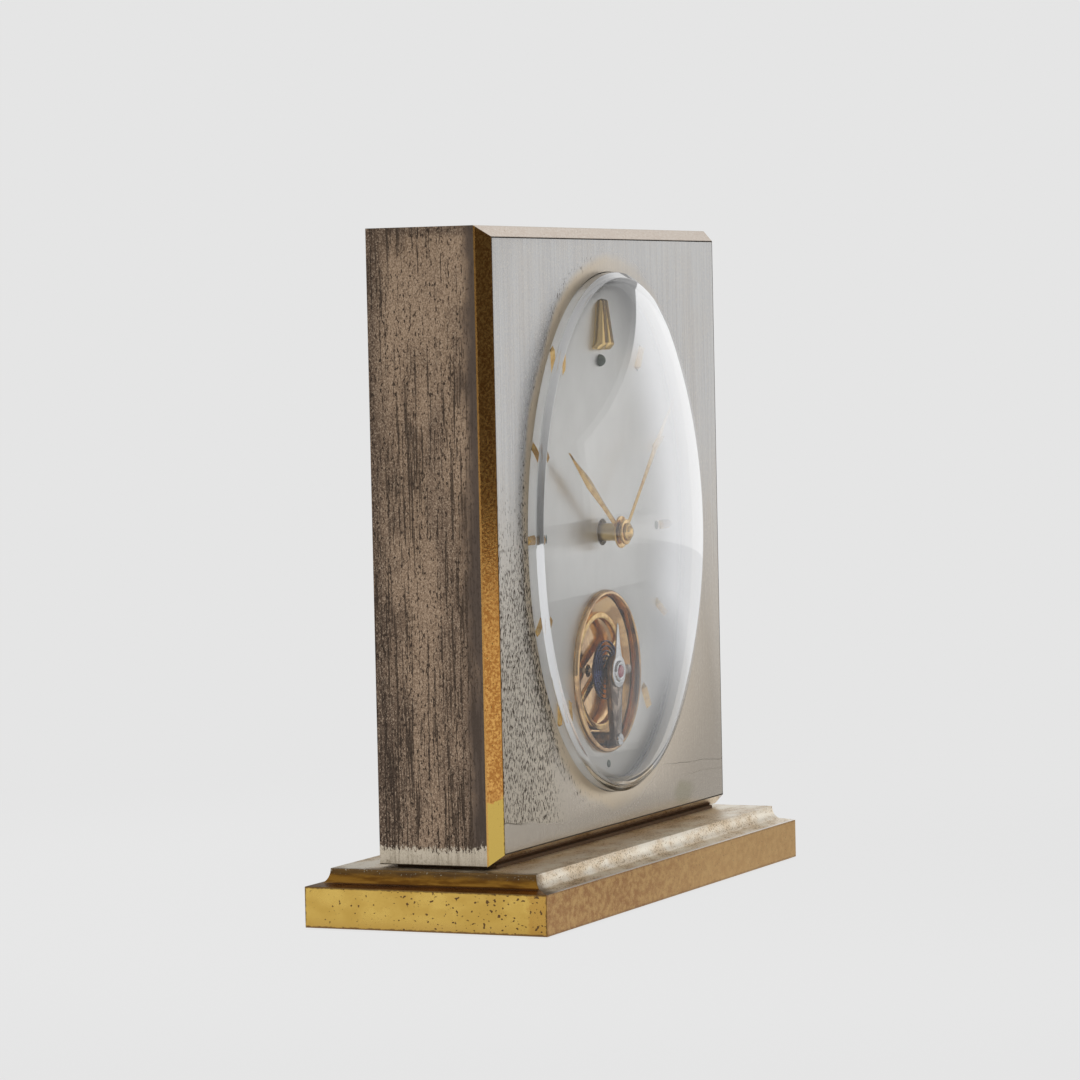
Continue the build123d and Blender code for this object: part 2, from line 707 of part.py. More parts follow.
def hairspring():
    coil = spiral(1.3, STUD[0] - 0.5, 5, 0.16)
    return across(Pos(*BALANCE) * coil, *HAIRSPRING)


def hairspring_stud():
    """Block under the cock's side arm that holds the hairspring's outer end."""
    return across(Pos(*STUD) * Rectangle(0.8, 1.0), HAIRSPRING[0], COCK[1])


def balance_cock():
    """Bridge from its foot at the bottom of the opening up to the staff."""
    arm = taper(cock_foot(), COCK_FOOT_R, BALANCE, 2.9) + taper(BALANCE, 1.2, STUD, 0.8)
    cock = across(arm, *COCK) + rod(cock_foot(), COCK_FOOT_R, COCK[1] - 0.1, FRONT_PLATE[0])
    cock -= rod(BALANCE, 0.9, -12, -9)
    return cock - rod(cock_foot(), 0.5, COCK[0] - 1, FRONT_PLATE[0] + 1)


def cock_screw():
    head = rod(cock_foot(), 1.1, COCK[0] - 0.5, COCK[0])
    head -= across(Pos(*cock_foot()) * Rectangle(3, 0.3), COCK[0] - 1, COCK[0] - 0.25)
    return head + rod(cock_foot(), 0.5, COCK[0] - 0.1, FRONT_PLATE[1])


def balance_jewel():
    """Ruby in a raised round setting, pierced from behind for the staff's pivot."""
    setting = rod(BALANCE, 1.8, -12.0, COCK[0]) + rod(BALANCE, 0.9, -11.3, -10.0)
    setting += rod(BALANCE, 1.2, -12.2, -11.9)
    return setting - rod(BALANCE, 0.2 + RUN, -11.0, -9.9)


def regulator_index():
    """Polished index that turns about the jewel setting and points at twelve."""
    tip = (BALANCE[0], BALANCE[1] + 8.6)
    index = taper(BALANCE, 2.6, tip, 0.25) + Pos(*BALANCE) * Circle(2.9)
    return across(index - Pos(*BALANCE) * Circle(1.8 + RUN), -11.7, COCK[0] - 0.1)


def balance_dish():
    """Polished cup behind the balance, open where the cock's foot and the staff pass."""
    section = outline(
        [(1.2, -5.7), (11.8, -5.7), (13.9, -8.1), (14.3, -8.1), (12.05, -5.3), (1.2, -5.3)]
    )
    cup = Pos(BALANCE[0], 0, BALANCE[1]) * revolve(section, Axis.Y)
    return cup - rod(cock_foot(), COCK_FOOT_R + 0.1, -9, -5)


# ---------------------------------------------------------------- all pieces

BASE = [base_plinth, base_felt, base_spacer, base_screws]

ABOUT_THE_DIAL = [
    case_frame, front_plate, crystal, retaining_frame, retaining_screws,
    back_cover, back_cover_screws,
    dial, twelve_marker, hour_markers, luminous_dots, aperture_bezel,
    hour_hand, minute_hand, hand_nut, cannon_pinion, hour_wheel, minute_wheel,
    minute_wheel_post, setting_arbor, setting_knob,
    movement_front_plate, movement_rear_plate, pillars, pillar_screws, movement_screws, pivot_jewels,
    barrel_drum, barrel_cover, mainspring, barrel_arbor, ratchet_wheel, click, click_spring,
    winding_key,
    intermediate_wheel, centre_wheel, centre_arbor, third_wheel, fourth_wheel, escape_wheel,
    pallet_fork, pallet_stones,
    balance_wheel, balance_staff, roller, hairspring, hairspring_stud, balance_cock, cock_screw,
    balance_jewel, regulator_index, balance_dish,
]

os.makedirs("parts", exist_ok=True)
for make in BASE:
    export_step(make(), f"parts/{make.__name__}.step")
for make in ABOUT_THE_DIAL:
    export_step(Pos(0, 0, DIAL_Z) * make(), f"parts/{make.__name__}.step")
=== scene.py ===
from math import cos, hypot, pi, radians, sin, sqrt

import bmesh
import bpy
from mathutils import Matrix, Vector


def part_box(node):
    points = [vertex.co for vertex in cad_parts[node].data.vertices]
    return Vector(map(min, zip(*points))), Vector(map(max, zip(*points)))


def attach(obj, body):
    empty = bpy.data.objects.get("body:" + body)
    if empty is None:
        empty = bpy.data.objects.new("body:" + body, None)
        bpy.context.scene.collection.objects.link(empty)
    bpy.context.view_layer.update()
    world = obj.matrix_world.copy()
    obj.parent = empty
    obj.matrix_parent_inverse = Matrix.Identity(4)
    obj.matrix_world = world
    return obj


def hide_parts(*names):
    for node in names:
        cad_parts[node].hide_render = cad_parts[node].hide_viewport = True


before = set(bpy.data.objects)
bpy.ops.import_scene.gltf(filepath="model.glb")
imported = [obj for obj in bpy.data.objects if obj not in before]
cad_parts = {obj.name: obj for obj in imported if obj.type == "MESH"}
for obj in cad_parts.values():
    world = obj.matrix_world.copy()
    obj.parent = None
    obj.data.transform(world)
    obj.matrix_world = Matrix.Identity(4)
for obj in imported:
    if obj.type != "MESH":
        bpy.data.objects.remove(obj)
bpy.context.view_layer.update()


# ---------------- base plinth
# The solid base, milled from brass bar: an upright slab, a narrow ledge and a hollow cove up to
# a flat top. Its ends kept a pitted polish, the front has browned, and thin nickel is left on top.

def tint(red, green, blue):
    """A colour as a paint chart gives it, 0 to 255, made linear."""
    return tuple((c / 255 / 12.92) if c < 10.4 else ((c / 255 + 0.055) / 1.055) ** 2.4
                 for c in (red, green, blue))


class Tone:
    """One output in a node tree. Sums written with it add their Math nodes."""

    def __init__(self, nodes, out):
        self.nodes, self.out = nodes, out

    def sum(self, operation, *parts):
        return self.nodes.node("ShaderNodeMath", {"operation": operation}, dict(enumerate(parts)))

    def __add__(self, other): return self.sum("ADD", self, other)
    def __radd__(self, other): return self.sum("ADD", other, self)
    def __sub__(self, other): return self.sum("SUBTRACT", self, other)
    def __rsub__(self, other): return self.sum("SUBTRACT", other, self)
    def __mul__(self, other): return self.sum("MULTIPLY", self, other)
    def __rmul__(self, other): return self.sum("MULTIPLY", other, self)
    def __truediv__(self, other): return self.sum("DIVIDE", self, other)
    def __pow__(self, other): return self.sum("POWER", self, other)
    def __abs__(self): return self.sum("ABSOLUTE", self)

    def most(self, other): return self.sum("MAXIMUM", self, other)
    def least(self, other): return self.sum("MINIMUM", self, other)

    def over(self, edge, soft):
        """1 above the edge, 0 below it, with a soft step between."""
        return self.nodes.node("ShaderNodeMapRange", {"interpolation_type": "SMOOTHSTEP"},
                               {"Value": self, "From Min": edge - soft, "From Max": edge + soft})

    def under(self, edge, soft): return 1 - self.over(edge, soft)


class Nodes:
    """Adds nodes to one tree: a node's type, its settings, then its sockets."""

    def __init__(self, tree):
        self.tree = tree

    def node(self, kind, settings=None, sockets=None, out=0):
        made = self.tree.nodes.new(kind)
        for name, value in (settings or {}).items():
            setattr(made, name, value)
        for name, value in (sockets or {}).items():
            socket = made.inputs[name]
            if isinstance(value, Tone):
                self.tree.links.new(value.out, socket)
            elif socket.type == "RGBA" and len(value) == 3:
                socket.default_value = (*value, 1.0)
            else:
                socket.default_value = value
        return None if out is None else Tone(self, made.outputs[out])


class Finish(Nodes):
    """The finish of one metal, glass, paint or cloth."""

    def __init__(self, name):
        self.material = bpy.data.materials.new(name)
        self.material.use_nodes = True
        super().__init__(self.material.node_tree)
        self.tree.nodes.clear()
        self.place = self.node("ShaderNodeTexCoord", out="Object")

    def axes(self):
        """x, y and z on the piece, in millimetres."""
        scaled = self.node("ShaderNodeMapping", {}, {"Vector": self.place, "Scale": (1000,) * 3})
        split = self.node("ShaderNodeSeparateXYZ", {}, {0: scaled})
        return [Tone(self, out) for out in split.out.node.outputs]

    def grain(self, size, detail=3.0, rough=0.55, twist=0.0, shift=(0, 0, 0)):
        """Noise whose grains are so many millimetres long in x, y and z."""
        laid = self.node("ShaderNodeMapping", {}, {
            "Vector": self.place, "Location": shift, "Scale": [1000 / s for s in size]})
        return self.node("ShaderNodeTexNoise", {}, {
            "Vector": laid, "Scale": 1.0, "Detail": detail, "Roughness": rough, "Distortion": twist})

    def mix(self, share, first, second):
        return self.node("ShaderNodeMix", {"data_type": "RGBA"}, {0: share, 6: first, 7: second}, 2)

    def bump(self, height, deep, strength=1.0):
        """Relief so many millimetres deep."""
        return self.node("ShaderNodeBump", {},
                         {"Height": height, "Distance": deep / 1000, "Strength": strength})

    def done(self, **sockets):
        named = {name.replace("_", " "): value for name, value in sockets.items()}
        shader = self.node("ShaderNodeBsdfPrincipled", {}, named)
        return self.show(shader)

    def show(self, shader):
        self.node("ShaderNodeOutputMaterial", {}, {"Surface": shader}, None)
        return self.material


def piece_of(name, mesh, finishes, sharp=30.0, soften=0.0):
    """An object in millimetres brought to metres, smooth but for its edges, with its finishes."""
    mesh.transform(Matrix.Scale(0.001, 4))
    mesh.name = name
    mesh.shade_smooth()
    mesh.set_sharp_from_angle(angle=radians(sharp))
    for finish in finishes:
        mesh.materials.append(finish)
    made = bpy.data.objects.new(name, mesh)
    bpy.context.scene.collection.objects.link(made)
    if soften:
        edge = made.modifiers.new("softened edges", "BEVEL")
        edge.width, edge.segments, edge.limit_method = soften / 1000, 2, "ANGLE"
        edge.angle_limit, edge.harden_normals = radians(25), True
    return made


def mesh_from(shape):
    """A plain mesh from a worked shape, its doubles merged and its faces outward."""
    bmesh.ops.remove_doubles(shape, verts=shape.verts, dist=1e-4)
    bmesh.ops.recalc_face_normals(shape, faces=shape.faces)
    mesh = bpy.data.meshes.new("shape")
    shape.to_mesh(mesh)
    shape.free()
    return mesh


def courses(levels, point, ring=False):
    """Rectangular courses joined in turn. A level is (half, half, height) and point places it."""
    shape = bmesh.new()
    loops = [[shape.verts.new(point(a * i, b * j, c)) for i, j in ((-1, -1), (1, -1), (1, 1), (-1, 1))]
             for a, b, c in levels]
    for near, far in zip(loops, loops[1:] + (loops[:1] if ring else [])):
        for i in range(4):
            shape.faces.new((near[i], near[i - 1], far[i - 1], far[i]))
    if not ring:
        shape.faces.new(loops[0])
        shape.faces.new(loops[-1])
    return mesh_from(shape)


def by_face(mesh, choose):
    """Give each face the number of its finish, from its direction and its middle."""
    for face in mesh.polygons:
        face.material_index = choose(face.normal, face.center)


BASE_X, BASE_Y = 58.5, 23.0
SLAB_TOP, LEDGE, LEDGE_TOP = 7.4, 2.0, 7.85
COVE_IN, COVE_RISE = 1.4, 2.5
cove_turn = [radians(a) for a in range(0, 91, 9)]
plinth_mesh = courses(
    [(51.0, 17.0, 1.2), (51.0, 17.0, 0.25), (BASE_X, BASE_Y, 0.25), (BASE_X, BASE_Y, SLAB_TOP)]
    + [(BASE_X - LEDGE - COVE_IN * sin(a), BASE_Y - LEDGE - COVE_IN * sin(a),
        LEDGE_TOP + COVE_RISE * (1 - cos(a))) for a in cove_turn],
    lambda x, y, z: (x, y, z))

ends = Finish("polished_brass")
x, y, z = ends.axes()
wander = ends.grain((0.9, 0.9, 0.9), detail=2)
cloud = ends.grain((7, 7, 5), detail=4)
pits = ends.grain((0.72, 0.72, 0.6), detail=1, rough=0.4).over(0.70 + y * 0.0024, 0.016)
specks = ends.grain((0.3, 0.3, 0.3), detail=1).over(0.74, 0.02)
worn = (z + wander * 0.5).over(7.42, 0.12).most((z - wander * 0.5).under(0.33, 0.12))
worn = worn.most((abs(y) + wander * 0.6).over(23.12, 0.12))
dark = pits.most(specks * 0.8).most(worn * 0.9)
gold = ends.mix(cloud.over(0.5, 0.16), (0.78, 0.53, 0.135), (0.66, 0.42, 0.095))
gold = ends.mix((0 - y + wander * 2).over(20.6, 0.5) * 0.6, gold, (0.52, 0.27, 0.06))
gold = ends.mix((z + cloud * 6).under(4.2, 1.6) * 0.45, gold, (0.47, 0.25, 0.06))
polished_brass = ends.done(
    Base_Color=ends.mix(dark, gold, (0.19, 0.10, 0.033)), Metallic=1.0 - dark * 0.5,
    Roughness=0.2 + cloud * 0.16 + dark * 0.4, Normal=ends.bump(0 - dark, 0.05, 0.6))

browned = Finish("browned_brass")
x, y, z = browned.axes()
blotch = browned.grain((1.5, 1.5, 1.1), detail=5, rough=0.65)
grit = browned.grain((0.35, 0.35, 0.35), detail=3, rough=0.7)
worn = (z + grit * 0.8).over(7.55, 0.15).most((z - grit * 0.8).under(0.2, 0.15))
brown = browned.mix((blotch * 0.65 + grit * 0.35).over(0.5, 0.1),
                    (0.56, 0.34, 0.12), (0.38, 0.185, 0.06))
brown = browned.mix((x + blotch * 16).over(8.0, 30.0) * 0.6, brown, (0.68, 0.43, 0.17))
brown = browned.mix(grit.over(0.66, 0.05) * 0.5, brown, (0.78, 0.56, 0.30))
brown = browned.mix(grit.under(0.36, 0.04) * 0.6, brown, (0.14, 0.07, 0.03))
browned_brass = browned.done(
    Base_Color=browned.mix(worn * 0.45, brown, (0.13, 0.06, 0.025)), Metallic=1.0,
    Roughness=0.3 + blotch * 0.25, Normal=browned.bump(grit, 0.02, 0.5))

hollow = Finish("darkened_cove")
x, y, z = hollow.axes()
film = hollow.grain((2.5, 6.0, 1.0), detail=5, rough=0.6)
dust = hollow.grain((0.3, 0.3, 0.3), detail=2)
# Painted reflection: the cove is painted darker towards its upper edge, where it mirrors the dark room; dust
# specks lie on that part too.
upper = (z + film).over(9.9, 0.5)
cove_tone = hollow.mix(film.over(0.52, 0.12), (0.42, 0.21, 0.035), (0.22, 0.095, 0.016))
cove_tone = hollow.mix(upper * 0.75, cove_tone, (0.13, 0.085, 0.045))
cove_tone = hollow.mix(dust.over(0.68, 0.03) * upper, cove_tone, (0.62, 0.58, 0.48))
darkened_cove = hollow.done(Base_Color=cove_tone, Metallic=1.0, Roughness=0.12 + film * 0.16,
                            Normal=hollow.bump(dust, 0.015, 0.4))

thin = Finish("worn_nickel")
x, y, z = thin.axes()
wash = thin.grain((9, 5, 4), detail=4, rough=0.6)
grit = thin.grain((0.4, 0.4, 0.3), detail=3, rough=0.65)
bare = (grit * 0.7 + wash * 0.3).over(0.565, 0.03)
thin_tone = thin.mix(wash.over(0.5, 0.15), (1.0, 0.93, 0.80), (0.84, 0.69, 0.50))
thin_tone = thin.mix(bare * 0.75, thin_tone, (0.34, 0.22, 0.09))
# Painted highlight: a near-white line along the front edge of the ledge.
thin_tone = thin.mix((0 - y + grit * 0.4).over(22.75, 0.15) * 0.8, thin_tone, (1.0, 0.97, 0.94))
# Painted shade: the left end of the top and of the front cove is painted dark brown.
thin_tone = thin.mix((0 - x + wash * 8).over(58.0, 2.5) * 0.85, thin_tone, (0.15, 0.095, 0.045))
worn_nickel = thin.done(Base_Color=thin_tone, Metallic=1.0, Roughness=0.3 + wash * 0.25,
                        Normal=thin.bump(grit, 0.015, 0.5))


def plinth_face(way, middle):
    if middle.z < SLAB_TOP:
        return 0 if abs(way.x) > 0.9 else 1
    return 2 if abs(way.x) > 0.15 else 3


by_face(plinth_mesh, plinth_face)
plinth = piece_of("plinth", plinth_mesh, [polished_brass, browned_brass, darkened_cove, worn_nickel],
                  soften=0.12)
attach(plinth, "case")
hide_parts("base_plinth")


# ---------------- felt pad, card and base screws
# A dark green felt pad glued in the base's pocket, a thin card packing between base and case, and
# two steel screws that come up through the base.

def coat(node, finish):
    """Give a node that keeps its own shape this finish."""
    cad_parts[node].data.materials.clear()
    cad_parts[node].data.materials.append(finish)


nap = Finish("green_felt")
fibre = nap.grain((0.35, 0.12, 0.2), detail=5, rough=0.75, twist=1.5)
lint = nap.grain((4, 4, 4), detail=3)
felt_tone = nap.mix(fibre, (0.008, 0.014, 0.010), (0.035, 0.055, 0.040))
green_felt = nap.done(Base_Color=nap.mix(lint.over(0.6, 0.1) * 0.4, felt_tone, (0.07, 0.08, 0.07)),
                      Roughness=0.95, Sheen_Weight=0.4, Normal=nap.bump(fibre, 0.12))
felt = piece_of("felt_pad", courses(
    [(50.4, 16.4, 0.0), (50.65, 16.65, 0.12), (50.7, 16.7, 0.3), (50.7, 16.7, 1.18)],
    lambda x, y, z: (x, y, z)), [green_felt], soften=0.1)
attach(felt, "case")
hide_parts("base_felt")

pulp = Finish("dark_card")
flock = pulp.grain((0.5, 0.5, 0.15), detail=4, rough=0.7)
# The card's dark brown is partly its own colour and partly painted shade of the narrow gap between base and
# case.
dark_card = pulp.done(Base_Color=pulp.mix(flock, (0.075, 0.04, 0.018), (0.24, 0.14, 0.07)),
                      Roughness=0.85, Normal=pulp.bump(flock, 0.05))
coat("base_spacer", dark_card)

turned_steel = Finish("satin_steel")
lathe = turned_steel.grain((0.18, 0.6, 0.18), detail=3)
satin_steel = turned_steel.done(
    Base_Color=turned_steel.mix(lathe, (0.42, 0.42, 0.43), (0.62, 0.62, 0.62)), Metallic=1.0,
    Roughness=0.28 + lathe * 0.2, Normal=turned_steel.bump(lathe, 0.01, 0.5))
coat("base_screws", satin_steel)


# ---------------- case
# A deep brass box, nickel plated and long since streaked by tarnish along its sides, with a
# polished bevel round the front edge where the plating has worn through to brass.

DIAL_Z = (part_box("dial")[0].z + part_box("dial")[1].z) * 500
CASE_X, CASE_Z = 52.0, 55.0
CASE_FOOT, CASE_TOP = 10.9, 120.9


def upright(x, z, y):
    return (x, y, z + DIAL_Z)


case_mesh = courses(
    [(50.0, 53.0, -11.5), (CASE_X, CASE_Z, -9.0), (CASE_X, CASE_Z, 11.5), (49.95, 52.95, 11.5),
     (49.95, 52.95, 10.0), (49.0, 52.0, 10.0), (49.0, 52.0, -10.0), (49.95, 52.95, -10.0),
     (49.95, 52.95, -11.5)], upright, ring=True)


def streaked(name, along):
    """Tarnished nickel, streaked along the way it was brushed: "z" up the sides, "x" on top."""
    skin = Finish(name)
    x, y, z = skin.axes()

    def run(wide, long):
        return (long, wide, long)

    band = skin.grain(run(5.5, 60), detail=3)
    streak = skin.grain(run(0.42, 14), detail=4, rough=0.62)
    thread = skin.grain(run(0.2, 5.5), detail=3, rough=0.6, shift=(3, 7, 1))
    fleck = skin.grain(run(0.36, 0.85), detail=2.5, rough=0.6)
    crumb = skin.grain((0.24, 0.24, 0.3), detail=3, rough=0.75)
    patch = skin.grain(run(6, 16), detail=4, rough=0.6, shift=(11, 0, 5))
    rise = CASE_TOP - z if along == "z" else 0 * z + 55
    back = (y + patch * 6).over(11.5, 2.2)
    front = (y - (patch - 0.5) * 7 - (crumb - 0.5) * 5).under(-6.9, 1.3)
    head = (CASE_TOP - z + patch * 2.4).under(2.6, 0.7)
    aged = (rise * 0.011).least(1.0)
    light = skin.mix(patch.over(0.5, 0.14), (0.54, 0.385, 0.265), (0.41, 0.285, 0.19))
    light = skin.mix(aged * 0.5, light, (0.30, 0.21, 0.148))
    veil = (band * 0.5 + patch * 0.5 + aged * 0.09).over(0.56, 0.05)
    light = skin.mix(veil * 0.45, light, (0.15, 0.108, 0.085))
    light = skin.mix(back.most(head * 0.8) * 0.75, light, (0.11, 0.078, 0.06))
    light = skin.mix(crumb.under(0.45, 0.05) * 0.6, light, (0.13, 0.088, 0.062))
    light = skin.mix(crumb.over(0.575, 0.04) * (0.6 - front * 0.4), light, (0.74, 0.58, 0.43))
    light = skin.mix(front * 0.9, light, (0.13, 0.10, 0.083))
    deep = (streak * 0.6 + thread * 0.4 + (patch - 0.5) * 0.25 + aged * 0.03).over(0.575, 0.02)
    pocks = (fleck * 0.8 + streak * 0.3 + aged * 0.02).over(0.645, 0.015)
    dark = (deep * 0.75).most(pocks * 0.9) * (1 - front * 0.6)
    tone = skin.mix(dark, light, (0.052, 0.034, 0.023))
    relief = crumb * 0.6 + thread * 0.3 - dark
    if along == "z":
        corner = (0 - y - 6.0).most(0.0) * 0.25
        fresh = (z - CASE_FOOT + (fleck - 0.5) * 3.0 + (crumb - 0.5) * 3.5 + (streak - 0.5) * 2 - corner)
        fresh = fresh.under(2.9, 0.15)
        # Painted shade: a near-black line along the foot of the case, where it meets the base.
        line = (z - CASE_FOOT).under(0.16, 0.05)
        tone = skin.mix(fresh, tone, (0.74, 0.65, 0.52))
        tone = skin.mix(fresh * (crumb.over(0.56, 0.05) * 0.35), tone, (0.36, 0.30, 0.19))
        tone = skin.mix(line, tone, (0.05, 0.035, 0.02))
        relief = relief * (1 - fresh)
    return skin.done(Base_Color=tone, Metallic=1.0 - dark * 0.45, Roughness=0.36 + dark * 0.3 + crumb * 0.08,
                     Normal=skin.bump(relief, 0.045, 0.8))


def bevelled(name, upper, lower, fresh):
    """Worn brass on the bevel, a little fresher at its foot."""
    skin = Finish(name)
    x, y, z = skin.axes()
    mottle = skin.grain((0.42, 0.42, 0.5), detail=3, rough=0.7)
    drift = skin.grain((3, 3, 7), detail=3)
    spot = skin.grain((0.34, 0.34, 0.34), detail=1.5).over(0.73, 0.02)
    near = (CASE_X - abs(x)).least(CASE_Z - abs(z - DIAL_Z))
    lip = (near - mottle * 0.2).under(0.1, 0.05) * 0.7
    edge = (near + mottle * 0.3).over(2.08, 0.07)
    tone = skin.mix((mottle * 0.8 + drift * 0.2).over(0.5, 0.09), lower, upper)
    tone = skin.mix(drift.over(0.56, 0.06) * 0.4, tone, lower)
    low = (z + mottle * 1.5 + drift * 3 - (CASE_X - abs(x)) * 0.6).under(24.0, 0.15)
    tone = skin.mix(low, tone, fresh)
    tone = skin.mix(lip, tone, upper)
    dark = (spot * (1 - low * 0.7)).most(edge * 0.85)
    return skin.done(Base_Color=skin.mix(dark, tone, (0.10, 0.055, 0.02)), Metallic=1.0,
                     Roughness=0.07 + mottle * 0.05 + dark * 0.2 + lip * 0.2,
                     Normal=skin.bump(mottle * (1 - low) - dark, 0.01, 0.5))


case_skin = streaked("streaked_nickel", "z")
case_top = streaked("streaked_nickel_top", "x")
bevel_brass = bevelled("worn_brass_bevel", (0.78, 0.425, 0.125), (0.45, 0.19, 0.045), (0.67, 0.47, 0.115))
bevel_nickel = bevelled("worn_nickel_bevel", (0.72, 0.63, 0.54), (0.60, 0.48, 0.38), (0.66, 0.55, 0.42))


def case_face(way, middle):
    if middle.y < -11.45 or max(abs(middle.x) - 49.96, abs(middle.z - DIAL_Z) - 52.96) < 0:
        return 1
    if abs(way.y) > 0.3:
        return 2 if abs(way.x) > 0.3 else 3
    return 0 if abs(way.x) > 0.5 else 1


by_face(case_mesh, case_face)
case = piece_of("case_box", case_mesh, [case_skin, case_top, bevel_brass, bevel_nickel], soften=0.1)
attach(case, "case")
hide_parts("case_frame")


# ---------------- front plate
# A sheet of vertically brushed nickel let into the case flush with the bevel, cut out in an oval
# for the crystal. Polish and damp have left a tan ring round the oval and dark flecks low down.

def flat_mesh(loops, front, back, edge=0.1, smooth=2):
    """A plate standing in x and z from closed outlines, with softened rims."""
    line = bpy.data.curves.new("outline", "CURVE")
    line.dimensions, line.fill_mode = "2D", "BOTH"
    line.extrude = (back - front) / 2 - edge
    line.bevel_depth, line.bevel_resolution, line.offset = edge, smooth, -edge
    for loop in loops:
        run = line.splines.new("POLY")
        run.points.add(len(loop) - 1)
        for point, place in zip(run.points, loop):
            point.co = (*place, 0.0, 1.0)
        run.use_cyclic_u = True
    drawn = bpy.data.objects.new("outline", line)
    bpy.context.scene.collection.objects.link(drawn)
    seen = drawn.evaluated_get(bpy.context.evaluated_depsgraph_get())
    mesh = bpy.data.meshes.new_from_object(seen)
    bpy.data.objects.remove(drawn)
    shape = bmesh.new()
    shape.from_mesh(mesh)
    mesh = mesh_from(shape)
    mesh.transform(Matrix.Translation((0, (front + back) / 2, 0)) @ Matrix.Rotation(pi / 2, 4, "X"))
    return mesh


def oval(half_x, half_z, place=(0.0, 0.0), steps=160):
    """A round or oval outline."""
    return [(place[0] + half_x * cos(2 * pi * i / steps), place[1] + half_z * sin(2 * pi * i / steps))
            for i in range(steps)]


def lifted(mesh, place=(0.0, 0.0)):
    """Move a mesh drawn about one place to that place on the dial."""
    mesh.transform(Matrix.Translation((place[0], 0, place[1] + DIAL_Z)))
    return mesh


CUT_X, CUT_Z = 37.6, 47.1
corners = [(-49.85, -52.85), (49.85, -52.85), (49.85, 52.85), (-49.85, 52.85)]
plate_mesh = lifted(flat_mesh([corners, oval(CUT_X, CUT_Z)], -11.5, -10.0, 0.08))

sheet = Finish("brushed_nickel")
x, y, z = sheet.axes()
up = z - DIAL_Z
hair = sheet.grain((0.13, 1, 22), detail=3, rough=0.6)
brush = sheet.grain((0.45, 1, 34), detail=3, rough=0.55, shift=(5, 0, 2))
smear = sheet.grain((7, 7, 16), detail=4, rough=0.6)
grit = sheet.grain((0.26, 0.26, 0.4), detail=3, rough=0.65)
fleck = sheet.grain((0.34, 0.34, 0.95), detail=2.5, rough=0.6)
spread = ((x / CUT_X) ** 2 + (up / CUT_Z) ** 2) ** 0.5
gap = (spread - 1.0) * 42.0
left = (0 - x).over(6.0, 22.0)
low = (0 - up).over(8.0, 26.0)
ring = (gap + (smear - 0.5) * 3).under(2.6, 1.0) * (0.25 + left * 0.75)
fringe = (abs(gap - 3.0 + (smear - 0.5) * 5).under(1.2, 1.0)) * left
dirt = (0 - x + smear * 9).over(31.0, 8.0) * (0 - up + smear * 14).over(4.0, 18.0)
edge_left = (0 - x + smear * 3).over(50.2, 0.7) * (0 - up).over(-8.0, 14.0)
strip = (up + x * 0.11 + (smear - 0.5) * 2).under(-53.0, 0.12)
dirt = dirt.most(edge_left * 0.7) * (1 - strip)
warm = (0 - up + x * 0.25 + (smear - 0.5) * 16).over(14.0, 34.0)
plain = sheet.mix((0.5 + (brush - 0.5) * 1.2 + (hair - 0.5) * 0.9).over(0.5, 0.25),
                  (0.455, 0.45, 0.45), (0.53, 0.53, 0.53))
plain = sheet.mix(smear.over(0.56, 0.1) * 0.3, plain, (0.50, 0.465, 0.43))
plain = sheet.mix(warm * 0.85, plain, (0.52, 0.445, 0.35))
plain = sheet.mix(grit.over(0.56, 0.06) * 0.3, plain, (0.72, 0.66, 0.56))
tone = sheet.mix(ring * 0.85, plain, (0.68, 0.55, 0.38))
tone = sheet.mix(dirt * 0.5, tone, (0.66, 0.585, 0.47))
spots = (fleck * 0.75 + grit * 0.25 + dirt * 0.1 + fringe * 0.05).over(0.635, 0.022)
spots = spots * (dirt * 1.2 + fringe * 0.8 + left * 0.1).least(1.0) * (1 - strip)
lines = (hair * 0.6 + brush * 0.4).over(0.66, 0.02) * (0.15 + dirt * 0.4)
seep = (abs(up + x * 0.11 + 53.0 + (smear - 0.5) * 2)).under(0.12, 0.08) * x.under(-42.0, 4.0) * 0.7
dark = spots.most(lines * 0.5).most(seep)
mould = ((x - 31.0) / 5.5) ** 2 + ((up + 50.5) / 2.6) ** 2 + (smear - 0.5) * 2.2
tone = sheet.mix(mould.under(0.8, 0.5) * 0.4, tone, (0.30, 0.28, 0.14))
arc = abs(spread - 1.11 + (smear - 0.5) * 0.03).under(0.0022, 0.0016) * left
arc = arc * (0 - up).over(26.0, 3.0) * (0 - up).under(42.0, 3.0)
scratch = (abs(x * 0.05 + up + 43.4 + (smear - 0.5) * 1.2)).under(0.06, 0.05) * x.over(24.0, 6.0)
scratch = scratch.most(abs(x * 0.02 + up + 46.6 + (smear - 0.5)).under(0.05, 0.05) * x.over(33.0, 4.0) * 0.6)
dark = dark.most(scratch.most(arc) * grit.over(0.42, 0.08) * 0.75)
brushed_nickel = sheet.done(
    Base_Color=sheet.mix(dark, tone, (0.085, 0.064, 0.046)), Metallic=1.0 - dark * 0.4,
    Roughness=0.27 + ring * 0.12 + dirt * 0.08 + dark * 0.25,
    Normal=sheet.bump(hair * 0.6 + brush * 0.4 - dark * 1.3, 0.02, 0.5))
plate = piece_of("front_sheet", plate_mesh, [brushed_nickel])
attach(plate, "case")
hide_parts("front_plate")


# ---------------- crystal
# The deep oval crystal, moulded clear: a low dome on an upright wall, with a flange clamped
# behind the front plate.

